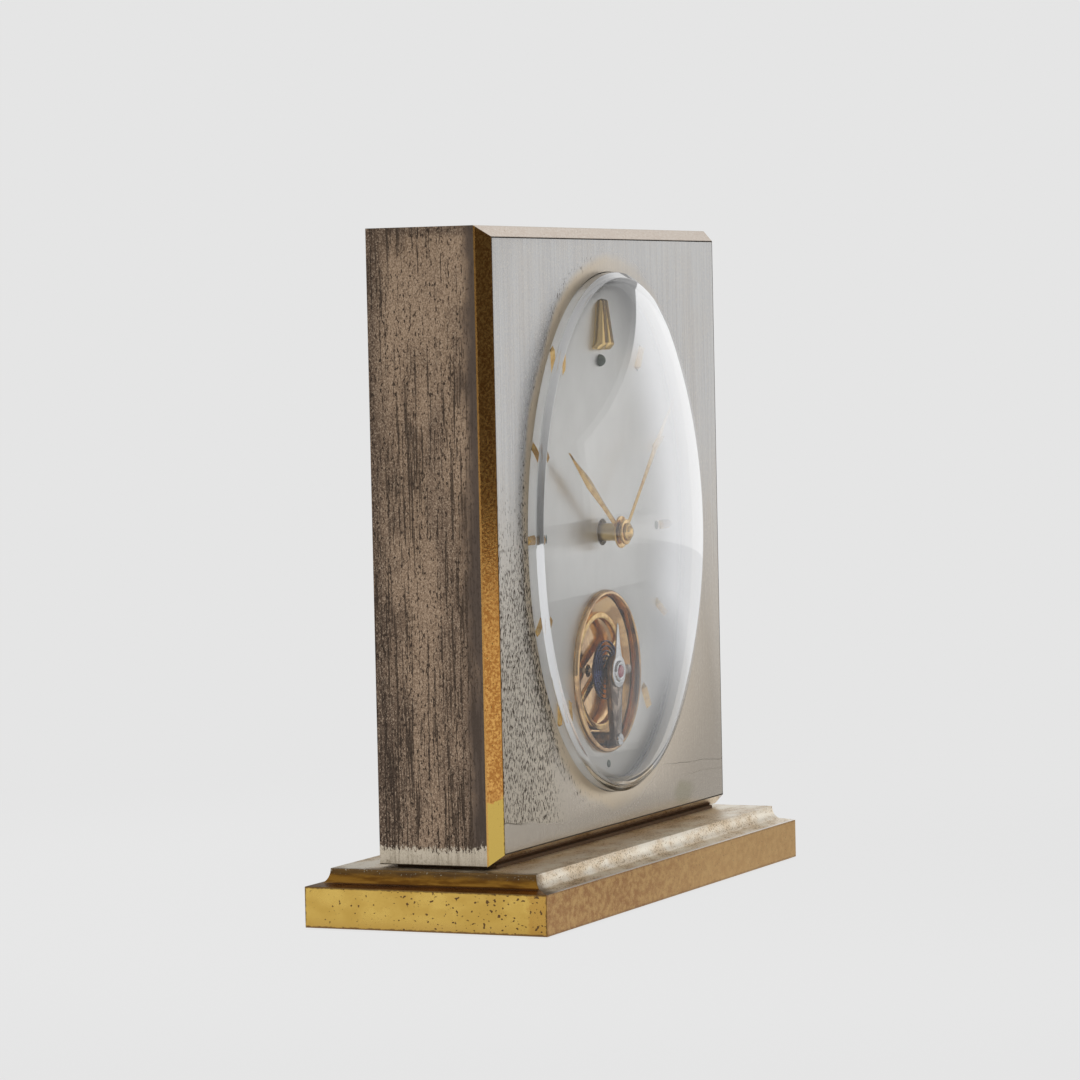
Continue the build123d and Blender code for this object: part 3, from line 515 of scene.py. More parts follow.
def turned(section, place=(0.0, 0.0), steps=128, squeeze=1.0, closed=False):
    """A section of (radius, depth) pairs turned about an axis along y, at a place on the dial."""
    shape = bmesh.new()
    rings = []
    for radius, depth in section:
        if radius < 1e-6:
            rings.append([shape.verts.new((0, depth, 0))] * steps)
        else:
            rings.append([shape.verts.new((radius * squeeze * cos(2 * pi * i / steps), depth,
                                           radius * sin(2 * pi * i / steps))) for i in range(steps)])
    for near, far in zip(rings, rings[1:] + (rings[:1] if closed else [])):
        for i in range(steps):
            shape.faces.new(dict.fromkeys((near[i], near[i - 1], far[i - 1], far[i])))
    return lifted(mesh_from(shape), place)


def dome(edge_r, edge_y, apex_y, steps):
    """Half of a round dome's section, from its apex to its edge."""
    rise = edge_y - apex_y
    radius = (edge_r ** 2 + rise ** 2) / (2 * rise)
    return [(edge_r * i / steps, apex_y + radius - sqrt(radius ** 2 - (edge_r * i / steps) ** 2))
            for i in range(steps + 1)]


LENS_X, LENS_Z = 37.5, 47.0
DOME_EDGE = 45.9
shoulder = [(45.98, -14.06), (46.04, -14.0), (46.92, -13.12), (46.98, -13.04), (47.0, -12.9)]
flange = [(47.0, -10.05), (48.98, -9.98), (48.98, -9.12), (45.7, -9.12)]
outside = dome(DOME_EDGE, -14.1, -22.0, 28) + shoulder + flange
inside = [(45.7, -12.6)] + dome(45.4, -13.05, -20.7, 28)[::-1]


def glazing(name, least, most, bend, down):
    """Clear moulded glazing, glossier as it is seen more edge on, and less so below a height."""
    lens = Finish(name)
    haze = lens.grain((9, 9, 9), detail=4)
    clear = lens.node("ShaderNodeBsdfPrincipled", {}, {
        "Base Color": (0.985, 0.99, 0.99), "Transmission Weight": 1.0, "IOR": 1.49,
        "Roughness": haze.over(0.62, 0.1) * 0.02 + 0.002})
    gloss = lens.node("ShaderNodeBsdfPrincipled", {}, {
        "Base Color": (0.95, 0.96, 0.98), "Metallic": 1.0, "Roughness": 0.03})
    lean = lens.node("ShaderNodeLayerWeight", {}, {"Blend": 0.5}, "Facing")
    share = lean.over(bend, 0.09) * (most - least) + least
    share = share * (lens.axes()[2] - DIAL_Z).over(down, 10.0)
    return lens.show(lens.node("ShaderNodeMixShader", {}, {0: share, 1: clear, 2: gloss}))


crystal = piece_of("domed_crystal", turned(outside + inside, steps=192, squeeze=LENS_X / LENS_Z),
                   [glazing("clear_crystal", 0.0, 0.76, 0.58, -30.0),
                    glazing("polished_shoulder", 0.75, 0.8, 0.57, -34.0)],
                   sharp=40)
for face in crystal.data.polygons:
    out = hypot(face.center.x / LENS_X, face.center.z / LENS_Z - DIAL_Z / (LENS_Z * 1000)) * 1000
    face.material_index = int(DOME_EDGE / LENS_Z < out < 46.999 / LENS_Z and face.center.y < -0.0129)
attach(crystal, "case")
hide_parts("crystal")


# ---------------- dial
# An oval of thin brass, silvered and finely grained, with a round opening low down for the
# balance. Its edge is painted darker, a painted shadow where it meets the crystal.

DIAL_FRONT = -9.1
OPENING = (0.0, -25.2)
dial_mesh = lifted(flat_mesh([oval(39.05, 48.95), oval(2.4, 2.4, steps=48),
                              oval(14.45, 14.45, OPENING, 96)], DIAL_FRONT, -8.3, 0.04, 1))
silver = Finish("silvered_satin")
x, y, z = silver.axes()
fine = silver.grain((0.1, 1, 9), detail=3)
mist = silver.grain((9, 9, 13), detail=4, rough=0.6)
# Painted shadow: the dial is darkened near its edge, next to the crystal's wall.
rim = (((x / LENS_X) ** 2 + ((z - DIAL_Z) / LENS_Z) ** 2) ** 0.5 + (mist - 0.5) * 0.05).over(0.965, 0.05)
satin = silver.mix(mist.over(0.5, 0.2), (0.86, 0.85, 0.83), (0.80, 0.79, 0.77))
satin = silver.mix((DIAL_Z - z).over(30.0, 20.0) * 0.5, satin, (0.66, 0.62, 0.55))
satin = silver.mix(rim * 0.4, satin, (0.58, 0.52, 0.43))
silvered_satin = silver.done(Base_Color=satin, Metallic=0.75, Roughness=0.36 + fine * 0.12,
                             Normal=silver.bump(fine, 0.006, 0.5))
dial = piece_of("silvered_dial", dial_mesh, [silvered_satin])
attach(dial, "case")
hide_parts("dial")


# ---------------- twelve marker
# The double marker at twelve: two cast and gilt lobes side by side that narrow upwards, with a
# bright seam between them and a rounded foot.

plating = Finish("bright_gilt")
wear = plating.grain((1.3, 1.3, 1.3), detail=4)
fine = plating.grain((0.2, 0.2, 0.2), detail=2)
gilt_tone = plating.mix(wear.over(0.55, 0.12), (0.86, 0.58, 0.24), (0.66, 0.38, 0.12))
bright_gilt = plating.done(Base_Color=gilt_tone, Metallic=1.0, Roughness=0.13 + wear * 0.1,
                           Normal=plating.bump(fine, 0.004, 0.4))


def skin_mesh(rows, columns, point, back):
    """A shaped front over a flat back: point(u, v) gives the front, back is the flat's depth."""
    shape = bmesh.new()
    grid = [[shape.verts.new(point(i / columns, j / rows)) for i in range(columns + 1)]
            for j in range(rows + 1)]
    for low, high in zip(grid, grid[1:]):
        for i in range(columns):
            shape.faces.new((low[i], low[i + 1], high[i + 1], high[i]))
    rim = (grid[0] + [row[-1] for row in grid[1:-1]] + grid[-1][::-1]
           + [row[0] for row in grid[-2:0:-1]])
    foot = [shape.verts.new((vert.co.x, back, vert.co.z)) for vert in rim]
    for i in range(len(rim)):
        shape.faces.new((rim[i], rim[i - 1], foot[i - 1], foot[i]))
    shape.faces.new(foot)
    return mesh_from(shape)


TWELVE_FOOT, TWELVE_LONG = 32.9, 9.2
TWELVE_WIDE, TWELVE_TIP = 6.7, 2.85


def lobes(u, v):
    """Two convex lobes with a raised seam, rounded over at the foot and the tip."""
    across = 2 * u - 1
    width = (TWELVE_WIDE + (TWELVE_TIP - TWELVE_WIDE) * v ** 0.8) / 2
    swell = sqrt(max(0.0, 1 - (2 * abs(across) - 1) ** 2))
    seam = max(0.0, 1 - abs(across) / 0.12) * 0.72
    foot = min(1.0, 0.55 + v / 0.22)
    closing = sqrt(max(0.0, 1 - max(0.0, (v - 0.94) / 0.06) ** 2))
    height = (2.1 - 0.85 * v) * max(swell ** 0.55, seam) * foot * closing
    scallop = 0.4 * (1 - swell) * max(0.0, 1 - v / 0.2)
    return (across * width, DIAL_FRONT - height, TWELVE_FOOT + TWELVE_LONG * v + scallop)


cast = Finish("cast_gilt")
x, y, z = cast.axes()
climb = (z - DIAL_Z - TWELVE_FOOT) / TWELVE_LONG
middle = abs(abs(x + climb * 0.25) / (3.35 - climb.most(0.0) ** 0.8 * 1.92) - 0.48)
tarnish_and_reflection_edge = cast.grain((0.5, 0.5, 1.2), detail=3)
# Painted reflection: the crown of each convex lobe is painted dark brown, leaving the seam and the rims
# bright.
painted_dark_crowns = (middle + (tarnish_and_reflection_edge - 0.5) * 0.12).under(0.2, 0.05) * climb.over(0.12, 0.04)
cast_gilt = cast.done(Base_Color=cast.mix(painted_dark_crowns * 0.9, (1.0, 0.72, 0.33), (0.09, 0.045, 0.018)),
                      Metallic=1.0, Roughness=0.12 + tarnish_and_reflection_edge * 0.1)
twelve = piece_of("double_marker", lifted(skin_mesh(36, 40, lobes, DIAL_FRONT)), [cast_gilt], sharp=50)
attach(twelve, "case")
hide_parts("twelve_marker")


# ---------------- hour markers
# Ten faceted gilt batons of one length, riveted to the dial along the rays of the hours. The four
# quarters of the oval mirror each other.

class Pattern(Nodes):
    """A Geometry Nodes tree with named inputs that ends in plain, finished faces."""

    def __init__(self, name, **inputs):
        super().__init__(bpy.data.node_groups.new(name, "GeometryNodeTree"))
        self.given, face = inputs, self.tree.interface
        face.new_socket("Geometry", in_out="INPUT", socket_type="NodeSocketGeometry")
        face.new_socket("Geometry", in_out="OUTPUT", socket_type="NodeSocketGeometry")
        kinds = {float: "Float", int: "Int", bpy.types.Object: "Object", bpy.types.Material: "Material"}
        for label, value in inputs.items():
            face.new_socket(label, in_out="INPUT", socket_type="NodeSocket" + kinds[type(value)])
        self.source = self.tree.nodes.new("NodeGroupInput")

    def asked(self, label):
        return Tone(self, self.source.outputs[label])

    def named(self, label):
        return self.node("GeometryNodeInputNamedAttribute", {"data_type": "FLOAT"}, {"Name": label})

    def vector(self, *parts):
        return self.node("ShaderNodeCombineXYZ", {}, dict(enumerate(parts)))

    def copied(self, shape, turn, scale):
        """A copy of the shape on each point of the base mesh."""
        return self.node("GeometryNodeInstanceOnPoints", {}, {
            "Points": Tone(self, self.source.outputs[0]), "Instance": shape, "Rotation": turn,
            "Scale": scale})

    def grow(self, name, shape, base=None):
        """Join everything, give it its finish and run the tree on the base mesh."""
        real = self.node("GeometryNodeRealizeInstances", {}, {"Geometry": shape})
        coated = self.node("GeometryNodeSetMaterial", {},
                           {"Geometry": real, "Material": self.asked("finish")})
        self.tree.links.new(coated.out, self.tree.nodes.new("NodeGroupOutput").inputs[0])
        grown = bpy.data.objects.new(name, base or bpy.data.meshes.new(name))
        bpy.context.scene.collection.objects.link(grown)
        step = grown.modifiers.new(name, "NODES")
        step.node_group = self.tree
        for item in self.tree.interface.items_tree:
            if item.in_out == "INPUT" and item.name in self.given:
                step[item.identifier] = self.given[item.name]
        bpy.context.view_layer.update()
        mesh = bpy.data.meshes.new_from_object(
            grown.evaluated_get(bpy.context.evaluated_depsgraph_get()))
        grown.modifiers.clear()
        grown.data = mesh
        mesh.name = name
        return grown


def spots_at(name, places, **more):
    """Bare points, in metres, each with its own values."""
    mesh = bpy.data.meshes.new(name)
    mesh.from_pydata([[c / 1000 for c in place] for place in places], [], [])
    for label, values in more.items():
        mesh.attributes.new(label, "FLOAT", "POINT").data.foreach_set("value", values)
    return mesh


def on_ray(hour, reach, depth):
    turn = radians(30 * hour)
    return (reach * sin(turn), depth, reach * cos(turn) + DIAL_Z)


def baton(u, v):
    """A ridge with hipped ends, one unit wide, high and long."""
    hip = min(1.0, min(v, 1 - v) / 0.09)
    return ((u - 0.5) * (1.0 - 0.1 * v), -max(0.0, 1 - abs(2 * u - 1)) * hip, v)


hours = [hour for hour in range(1, 12) if hour != 6]
starts = [{1: 33.6, 2: 28.2, 3: 27.0}[min(hour % 6, 6 - hour % 6)] for hour in hours]
ridge = bpy.data.objects.new("ridge", skin_mesh(11, 2, baton, 0.0))
batons = Pattern("batons", baton=ridge, width=0.0017, height=0.0008, length=0.0048, finish=bright_gilt)
body = batons.node("GeometryNodeObjectInfo", {}, {"Object": batons.asked("baton")}, "Geometry")
copies = batons.copied(body, batons.vector(0.0, batons.named("turn"), 0.0),
                       batons.vector(*map(batons.asked, ("width", "height", "length"))))
markers = batons.grow("hour_batons", copies, spots_at(
    "batons", [on_ray(hour, start, DIAL_FRONT) for hour, start in zip(hours, starts)],
    turn=[radians(30 * hour) for hour in hours]))
bpy.data.objects.remove(ridge)
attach(markers, "case")
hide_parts("hour_markers")


# ---------------- luminous dots
# Dots of grey-green luminous paint laid on by hand: a tall one under twelve, and low ones at
# three, six and nine.

paint = Finish("luminous_paint")
grit = paint.grain((0.22, 0.22, 0.22), detail=3, rough=0.7)
luminous_paint = paint.done(
    Base_Color=paint.mix(grit.over(0.5, 0.15), (0.11, 0.14, 0.12), (0.24, 0.28, 0.235)),
    Roughness=0.75, Normal=paint.bump(grit, 0.05))
dabs = Pattern("dabs", finish=luminous_paint)
blob = dabs.node("GeometryNodeMeshUVSphere", {}, {"Segments": 28, "Rings": 14, "Radius": 1.0}, "Mesh")
copies = dabs.copied(blob, dabs.vector(pi / 2, 0.0, 0.0),
                     dabs.vector(*map(dabs.named, ("wide", "wide", "tall"))))
dots = dabs.grow("dial_dots", copies, spots_at(
    "dabs", [on_ray(hour, reach, DIAL_FRONT)
             for hour, reach in ((0, 31.0), (3, 25.4), (6, 42.0), (9, 25.4))],
    wide=[0.0011, 0.0008, 0.0007, 0.0008], tall=[0.00105, 0.00024, 0.00024, 0.00024]))
dots.data.shade_smooth()
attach(dots, "case")
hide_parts("luminous_dots")


# ---------------- balance opening
# A turned gilt rim lines the opening in the dial, and behind the balance stands a polished cup
# that throws its colours back, open at its middle for the staff.

bowl = Finish("polished_cup")
swirl = bowl.grain((5, 5, 5), detail=3)
rings_cut = bowl.grain((0.5, 6, 0.5), detail=2)
bowl_tone = bowl.mix(swirl.over(0.5, 0.1), (0.84, 0.56, 0.29), (0.52, 0.32, 0.17))
polished_cup = bowl.done(Base_Color=bowl_tone, Metallic=1.0, Roughness=0.06 + swirl * 0.06,
                         Normal=bowl.bump(rings_cut, 0.004, 0.3))
bezel = piece_of("opening_rim", turned(
    [(13.9, -8.3), (13.9, -9.75), (14.0, -9.95), (14.2, -9.99), (14.5, -9.9), (14.72, -9.6),
     (14.8, -9.1), (14.5, -9.1), (14.5, -8.3)], OPENING, closed=True), [polished_cup], sharp=50)
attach(bezel, "case")
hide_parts("aperture_bezel")

hollow_line = [(1.2, -5.68), (6.0, -5.72), (9.6, -5.86), (11.4, -6.2), (12.6, -6.8), (13.5, -7.6),
               (13.9, -8.08), (14.28, -8.08), (13.4, -6.8), (12.05, -5.32), (1.2, -5.32)]
dish = piece_of("gilt_cup", turned(hollow_line, OPENING, closed=True), [polished_cup], sharp=50)
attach(dish, "case")
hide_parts("balance_dish")


# ---------------- balance wheel
# The balance: a plain gilt rim with two arms and a round boss, that swings to and fro behind the
# cock. Its edges are chamfered bright.

def boss(loops_r, front, back, edge=0.08, place=(0.0, 0.0)):
    """A flat ring or disc from its radii."""
    return lifted(flat_mesh([oval(r, r, steps=112) for r in loops_r], front, back, edge), place)


def joined(*meshes):
    """Several meshes as one."""
    shape = bmesh.new()
    for mesh in meshes:
        shape.from_mesh(mesh)
    mesh = bpy.data.meshes.new("joined")
    shape.to_mesh(mesh)
    shape.free()
    return mesh


def bar(start, start_half, end, end_half, steps=14):
    """The outline of a bar that narrows from one place to another, rounded at both ends."""
    along = Vector((end[0] - start[0], end[1] - start[1]))
    base = along.angle_signed(Vector((1, 0)))
    return ([(start[0] + start_half * cos(base + pi / 2 + pi * i / steps),
              start[1] + start_half * sin(base + pi / 2 + pi * i / steps)) for i in range(steps + 1)]
            + [(end[0] + end_half * cos(base - pi / 2 + pi * i / steps),
                end[1] + end_half * sin(base - pi / 2 + pi * i / steps)) for i in range(steps + 1)])


arm = [(cos(radians(30)) * r, sin(radians(30)) * r) for r in (-10.0, 10.0)]
balance = piece_of("balance_rim_and_arms", joined(
    boss((10.75, 9.55), -8.2, -7.0, 0.22, OPENING),
    lifted(flat_mesh([bar(arm[0], 0.72, arm[1], 0.72)], -8.0, -7.1, 0.2), OPENING),
    boss((1.7, 0.52), -8.2, -7.0, 0.15, OPENING)), [bright_gilt], sharp=50)
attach(balance, "balance")
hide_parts("balance_wheel")
polish = Finish("polished_steel")
cloud = polish.grain((1.2, 1.2, 1.2), detail=3)
polished_steel = polish.done(Base_Color=polish.mix(cloud, (0.62, 0.62, 0.64), (0.82, 0.82, 0.82)),
                             Metallic=1.0, Roughness=0.08 + cloud * 0.12)
coat("balance_staff", polished_steel)


# ---------------- hairspring and its stud
# A flat blued steel strip coiled round the staff, pinned outside to a square polished stud that
# hangs from the cock's side arm.

flame = Finish("blued_steel")
tempered = flame.grain((2, 2, 2), detail=2)
blued_steel = flame.done(Base_Color=flame.mix(tempered, (0.05, 0.07, 0.17), (0.12, 0.12, 0.22)),
                         Metallic=1.0, Roughness=0.2 + tempered * 0.15)
coil = Pattern("coil", turns=5.0, inner=0.0013, outer=0.0057, strip=0.00055, thickness=0.00015,
               finish=blued_steel)
path = coil.node("GeometryNodeCurveSpiral", {}, {
    "Resolution": 48, "Rotations": coil.asked("turns"), "Start Radius": coil.asked("inner"),
    "End Radius": coil.asked("outer"), "Height": 0.0})
strip = coil.node("GeometryNodeCurvePrimitiveQuadrilateral", {}, {
    "Width": coil.asked("thickness"), "Height": coil.asked("strip")})
band = coil.node("GeometryNodeCurveToMesh", {}, {"Curve": path, "Profile Curve": strip, "Fill Caps": True})
stood = coil.node("GeometryNodeTransform", {}, {
    "Geometry": band, "Rotation": (pi / 2, 0, 0),
    "Translation": (0, -0.009, (DIAL_Z + OPENING[1]) / 1000)})
hairspring = coil.grow("hairspring_coil", stood)
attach(hairspring, "case")
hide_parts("hairspring")

stud_line = [(5.8, -25.7), (6.6, -25.7), (6.6, -24.7), (5.8, -24.7)]
stud = piece_of("spring_stud", lifted(flat_mesh([stud_line], -9.98, -9.3, 0.1)), [polished_steel])
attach(stud, "case")
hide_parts("hairspring_stud")


# ---------------- cock, jewel and regulator
# A mirror-polished steel bridge screwed down at the foot of the opening, its colour painted dark
# brown-grey as a painted reflection. It carries the ruby in a turned setting, and round the
# setting turns the pointed regulator index.

COCK_FOOT = (0.0, -37.5)
cock_parts = [
    flat_mesh([bar(COCK_FOOT, 1.3, OPENING, 2.9)], -11.2, -10.0, 0.18),
    flat_mesh([bar(OPENING, 1.2, (6.2, OPENING[1]), 0.8)], -11.15, -10.05, 0.18)]
cock_foot = turned([(1.3, -10.1), (1.3, -5.5), (1.1, -5.3), (0.0, -5.3)], COCK_FOOT, 40)
mirror = Finish("smoked_steel")
steel_mottle = mirror.grain((1.4, 1.4, 2.2), detail=4, rough=0.65)
# Painted reflection: the polished steel's colour is painted dark, as if it mirrored a dark room.
smoked_steel = mirror.done(Base_Color=mirror.mix(steel_mottle.over(0.52, 0.08), (0.15, 0.11, 0.09),
                                                 (0.46, 0.38, 0.32)), Metallic=1.0,
                           Roughness=0.08 + steel_mottle * 0.14)
cock = piece_of("cock_bridge", joined(*[lifted(part) for part in cock_parts], cock_foot),
                [smoked_steel], sharp=50)
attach(cock, "case")
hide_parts("balance_cock")


def slotted(radius, front, back, slot, deep, place, steps=48):
    """A slotted screw head whose face looks towards the viewer."""
    head = turned([(0.0, back), (radius, back), (radius, front + 0.12), (radius - 0.12, front),
                   (radius * 0.6, front), (0.0, front)], place, steps)
    groove = bmesh.new()
    bmesh.ops.create_cube(groove, size=1.0)
    cutter = bpy.data.objects.new("cutter", mesh_from(groove))
    cutter.data.transform(Matrix.Translation((place[0], front, place[1] + DIAL_Z))
                          @ Matrix.Rotation(radians(25), 4, "Y")
                          @ Matrix.Diagonal((radius * 3, deep * 2, slot, 1)))
    cut = bpy.data.objects.new("cut", head)
    for thing in (cutter, cut):
        bpy.context.scene.collection.objects.link(thing)
    step = cut.modifiers.new("slot", "BOOLEAN")
    step.object, step.operation = cutter, "DIFFERENCE"
    bpy.context.view_layer.update()
    mesh = bpy.data.meshes.new_from_object(cut.evaluated_get(bpy.context.evaluated_depsgraph_get()))
    for thing in (cutter, cut):
        bpy.data.objects.remove(thing)
    return mesh


foot_screw = piece_of("cock_foot_screw", slotted(1.1, -11.68, -11.2, 0.3, 0.25, COCK_FOOT),
                      [polished_steel])
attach(foot_screw, "case")
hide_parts("cock_screw")

stone = Finish("ruby")
depth = stone.grain((0.8, 0.8, 0.8), detail=2)
ruby = stone.done(Base_Color=stone.mix(depth, (0.48, 0.05, 0.10), (0.78, 0.20, 0.26)), Roughness=0.06,
                  Coat_Weight=0.6, IOR=1.76)
jewel = piece_of("cap_jewel", joined(
    turned([(1.0, -11.3), (1.15, -11.95), (1.05, -12.1), (0.6, -12.17), (0.0, -12.19)],
           OPENING, 48),
    turned([(1.12, -11.2), (1.8, -11.2), (1.8, -11.85), (1.68, -11.98), (1.4, -12.0), (1.14, -11.88)],
           OPENING, 64, closed=True)), [ruby, polished_steel], sharp=45)
for face in jewel.data.polygons:
    out = hypot(face.center.x, face.center.z - (DIAL_Z + OPENING[1]) / 1000)
    face.material_index = 1 if out > 0.00112 else 0
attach(jewel, "case")
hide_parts("balance_jewel")

pointer_line = [(-1.6, 2.3), (1.6, 2.3), (1.15, 3.4), (0.25, 8.4), (0.0, 8.75), (-0.25, 8.4), (-1.15, 3.4)]
index = piece_of("regulator_pointer", joined(
    boss((2.9, 1.86), -11.68, -11.3, 0.1, OPENING),
    lifted(flat_mesh([pointer_line], -11.66, -11.32, 0.1), OPENING)), [polished_steel], sharp=50)
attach(index, "regulator")
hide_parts("regulator_index")


# ---------------- hands
# Two gilt lance hands, each pressed from sheet with a ridge along its middle, on round hubs. A
# small domed nut holds the minute hand.

def lance(length, hub, bore, waist, belly, front, back, turn):
    """A ridged lance blade and its hub, turned clockwise from twelve."""
    def blade(u, v):
        z = 0.3 * hub + (length - 0.3 * hub) * v
        share = z / length
        if share < 0.35:
            half = waist / 2
        elif share < 0.62:
            half = (waist + (belly - waist) * (share - 0.35) / 0.27) / 2
        else:
            half = max(0.02, belly / 2 * (1 - share) / 0.38)
        across = 2 * u - 1
        return (across * half, back - 0.04 - (back - front - 0.05) * (1 - abs(across) * 0.8), z)
    mesh = skin_mesh(60, 4, blade, back)
    hub_mesh = flat_mesh([oval(hub, hub, steps=72), oval(bore, bore, steps=40)], front, back, 0.08)
    both = joined(mesh, hub_mesh)
    both.transform(Matrix.Rotation(radians(turn), 4, "Y"))
    return lifted(both)


for name, node, body, shape in (
        ("hour_lance", "hour_hand", "hour_work", lance(27.0, 2.9, 1.62, 1.2, 2.1, -12.8, -12.45, -56.25)),
        ("minute_lance", "minute_hand", "minute_work",
         lance(33.5, 2.3, 0.82, 0.9, 1.5, -13.7, -13.35, 45.0))):
    hand = piece_of(name, shape, [bright_gilt], sharp=20)
    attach(hand, body)
    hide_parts(node)

nut = piece_of("hand_cap", turned(
    [(0.0, -14.78), (0.55, -14.74), (0.95, -14.6), (1.1, -14.4), (1.15, -14.25), (1.5, -14.2),
     (1.6, -14.05), (1.6, -13.75), (1.5, -13.71), (0.0, -13.71)], steps=64), [bright_gilt], sharp=50)
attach(nut, "minute_work")
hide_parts("hand_nut")


# ---------------- back cover and its screws
# A brushed brass sheet let into the back of the case, pierced for the key and the setting stem,
# and held by four slotted steel screws.

rear = Finish("brushed_back_brass")
x, y, z = rear.axes()
hair = rear.grain((18, 1, 0.14), detail=3, rough=0.6)
smear = rear.grain((9, 9, 7), detail=4, rough=0.6)
mark = rear.grain((0.4, 0.4, 0.4), detail=2).over(0.72, 0.03)
rear_tone = rear.mix(hair, (0.50, 0.37, 0.19), (0.72, 0.57, 0.34))
rear_tone = rear.mix(smear.over(0.56, 0.1) * 0.5, rear_tone, (0.36, 0.23, 0.11))
back_brass = rear.done(Base_Color=rear.mix(mark, rear_tone, (0.12, 0.07, 0.03)), Metallic=1.0,
                       Roughness=0.3 + smear * 0.2, Normal=rear.bump(hair, 0.012, 0.5))
cover = piece_of("rear_sheet", lifted(flat_mesh(
    [corners, oval(4.0, 4.0, (0.0, 20.0), 64), oval(1.6, 1.6, (19.2, 0.0), 40)], 10.0, 11.5, 0.1)),
    [back_brass])
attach(cover, "case")
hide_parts("back_cover")

head_mesh = slotted(2.0, -1.0, 0.0, 0.6, 0.5, (0.0, -DIAL_Z))
head_mesh.transform(Matrix.Rotation(pi, 4, "Z") @ Matrix.Scale(0.001, 4))
head_mesh.shade_smooth()
head_mesh.set_sharp_from_angle(angle=radians(35))
head = bpy.data.objects.new("head", head_mesh)
heads = Pattern("heads", head=head, size=0.98, finish=satin_steel)
shape = heads.node("GeometryNodeObjectInfo", {}, {"Object": heads.asked("head")}, "Geometry")
copies = heads.copied(shape, heads.vector(0.0, heads.named("turn"), 0.0),
                      heads.vector(*[heads.asked("size")] * 3))
cover_screws = heads.grow("rear_screws", copies, spots_at(
    "heads", [(x, 11.5, z + DIAL_Z) for x in (-45, 45) for z in (-48.5, 48.5)],
    turn=[0.4, 1.3, 2.2, 0.9]))
bpy.data.objects.remove(head)
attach(cover_screws, "case")
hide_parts("back_cover_screws")


# ---------------- setting knob
# The small knurled brass knob that sets the hands, turned and then fluted round its edge.

core = bpy.data.objects.new("core", turned(
    [(0.6, 12.5), (3.5, 12.5), (3.75, 12.7), (3.75, 16.1), (3.4, 16.45), (1.2, 16.45), (0.0, 16.3)],
    (0.0, -DIAL_Z), 80))
core.data.transform(Matrix.Scale(0.001, 4))
core.data.shade_smooth()
core.data.set_sharp_from_angle(angle=radians(35))
ribs = Pattern("ribs", core=core, count=40, rib=0.00028, length=0.0034, reach=0.00382, finish=back_brass)
circle = ribs.node("GeometryNodeMeshCircle", {}, {
    "Vertices": ribs.asked("count"), "Radius": ribs.asked("reach")})
rod = ribs.node("GeometryNodeMeshCylinder", {}, {
    "Vertices": 10, "Radius": ribs.asked("rib"), "Depth": ribs.asked("length")}, "Mesh")
rods = ribs.node("GeometryNodeInstanceOnPoints", {}, {"Points": circle, "Instance": rod})
rods = ribs.node("GeometryNodeTransform", {}, {
    "Geometry": rods, "Rotation": (pi / 2, 0, 0), "Translation": (0, 0.0144, 0)})
middle = ribs.node("GeometryNodeObjectInfo", {}, {"Object": ribs.asked("core")}, "Geometry")
both = ribs.tree.nodes.new("GeometryNodeJoinGeometry")
for part in (rods, middle):
    ribs.tree.links.new(part.out, both.inputs[0])
moved = ribs.node("GeometryNodeTransform", {}, {
    "Geometry": Tone(ribs, both.outputs[0]), "Translation": (0.0192, 0, DIAL_Z / 1000)})
knob = ribs.grow("knurled_knob", moved)
bpy.data.objects.remove(core)
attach(knob, "setting_stem")
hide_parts("setting_knob")


# ---------------- winding key
# A butterfly key of pressed and turned brass, left on the winding square.

wing = ([(6.2 + 4.6 * cos(radians(a)), 4.6 * sin(radians(a))) for a in range(-150, 151, 10)]
        + [(0.0, 2.6)]
        + [(-6.2 - 4.6 * cos(radians(a)), -4.6 * sin(radians(a))) for a in range(-150, 151, 10)]
        + [(0.0, -2.6)])
bow = flat_mesh([wing], -0.9, 0.9, 0.35, 3)
bow.transform(Matrix.Translation((0, 17.2, 20.0 + DIAL_Z)) @ Matrix.Rotation(pi / 2, 4, "X"))
pipe = turned([(0.0, 14.0), (1.3, 14.0), (1.3, 8.7), (2.5, 8.7), (2.6, 8.85), (2.6, 14.6), (2.3, 15.2),
               (1.9, 15.6), (1.9, 16.6), (1.5, 17.0), (0.0, 17.0)], (0.0, 20.0), 64)
key = piece_of("butterfly_key", joined(bow, pipe), [back_brass], sharp=45)
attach(key, "winding_arbor")
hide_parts("winding_key")


# ---------------- movement
# The eight-day movement between its two plates, its screws, springs, wheels and jewels, out of
# sight behind the dial. Plates and wheels are grained brass, arbors and screws steel.

brass = Finish("grained_brass")
ring_grain = brass.grain((0.3, 3, 0.3), detail=3, rough=0.6)
age = brass.grain((8, 8, 8), detail=3)
grained_brass = brass.done(
    Base_Color=brass.mix(age.over(0.5, 0.2), (0.72, 0.53, 0.24), (0.56, 0.38, 0.14)), Metallic=1.0,
    Roughness=0.25 + ring_grain * 0.2, Normal=brass.bump(ring_grain, 0.01, 0.5))
for node in ("retaining_frame movement_front_plate movement_rear_plate pillars hour_wheel minute_wheel"
             " barrel_drum barrel_cover intermediate_wheel centre_wheel third_wheel fourth_wheel").split():
    coat(node, grained_brass)
for node in ("retaining_screws minute_wheel_post pillar_screws movement_screws click_spring click"
             " cannon_pinion setting_arbor barrel_arbor ratchet_wheel centre_arbor escape_wheel"
             " pallet_fork roller").split():
    coat(node, satin_steel)
for node in ("pivot_jewels", "pallet_stones"):
    coat(node, ruby)
coat("mainspring", blued_steel)


# ---------------- floor, light and camera
# A plain pale floor and backdrop, one long low panel to the right of the clock, a card on the
# floor that only reflections see, dimmer near the clock as painted shade on the table there, and
# a long lens low down at the clock's left front.

pale = tint(229, 229, 229)


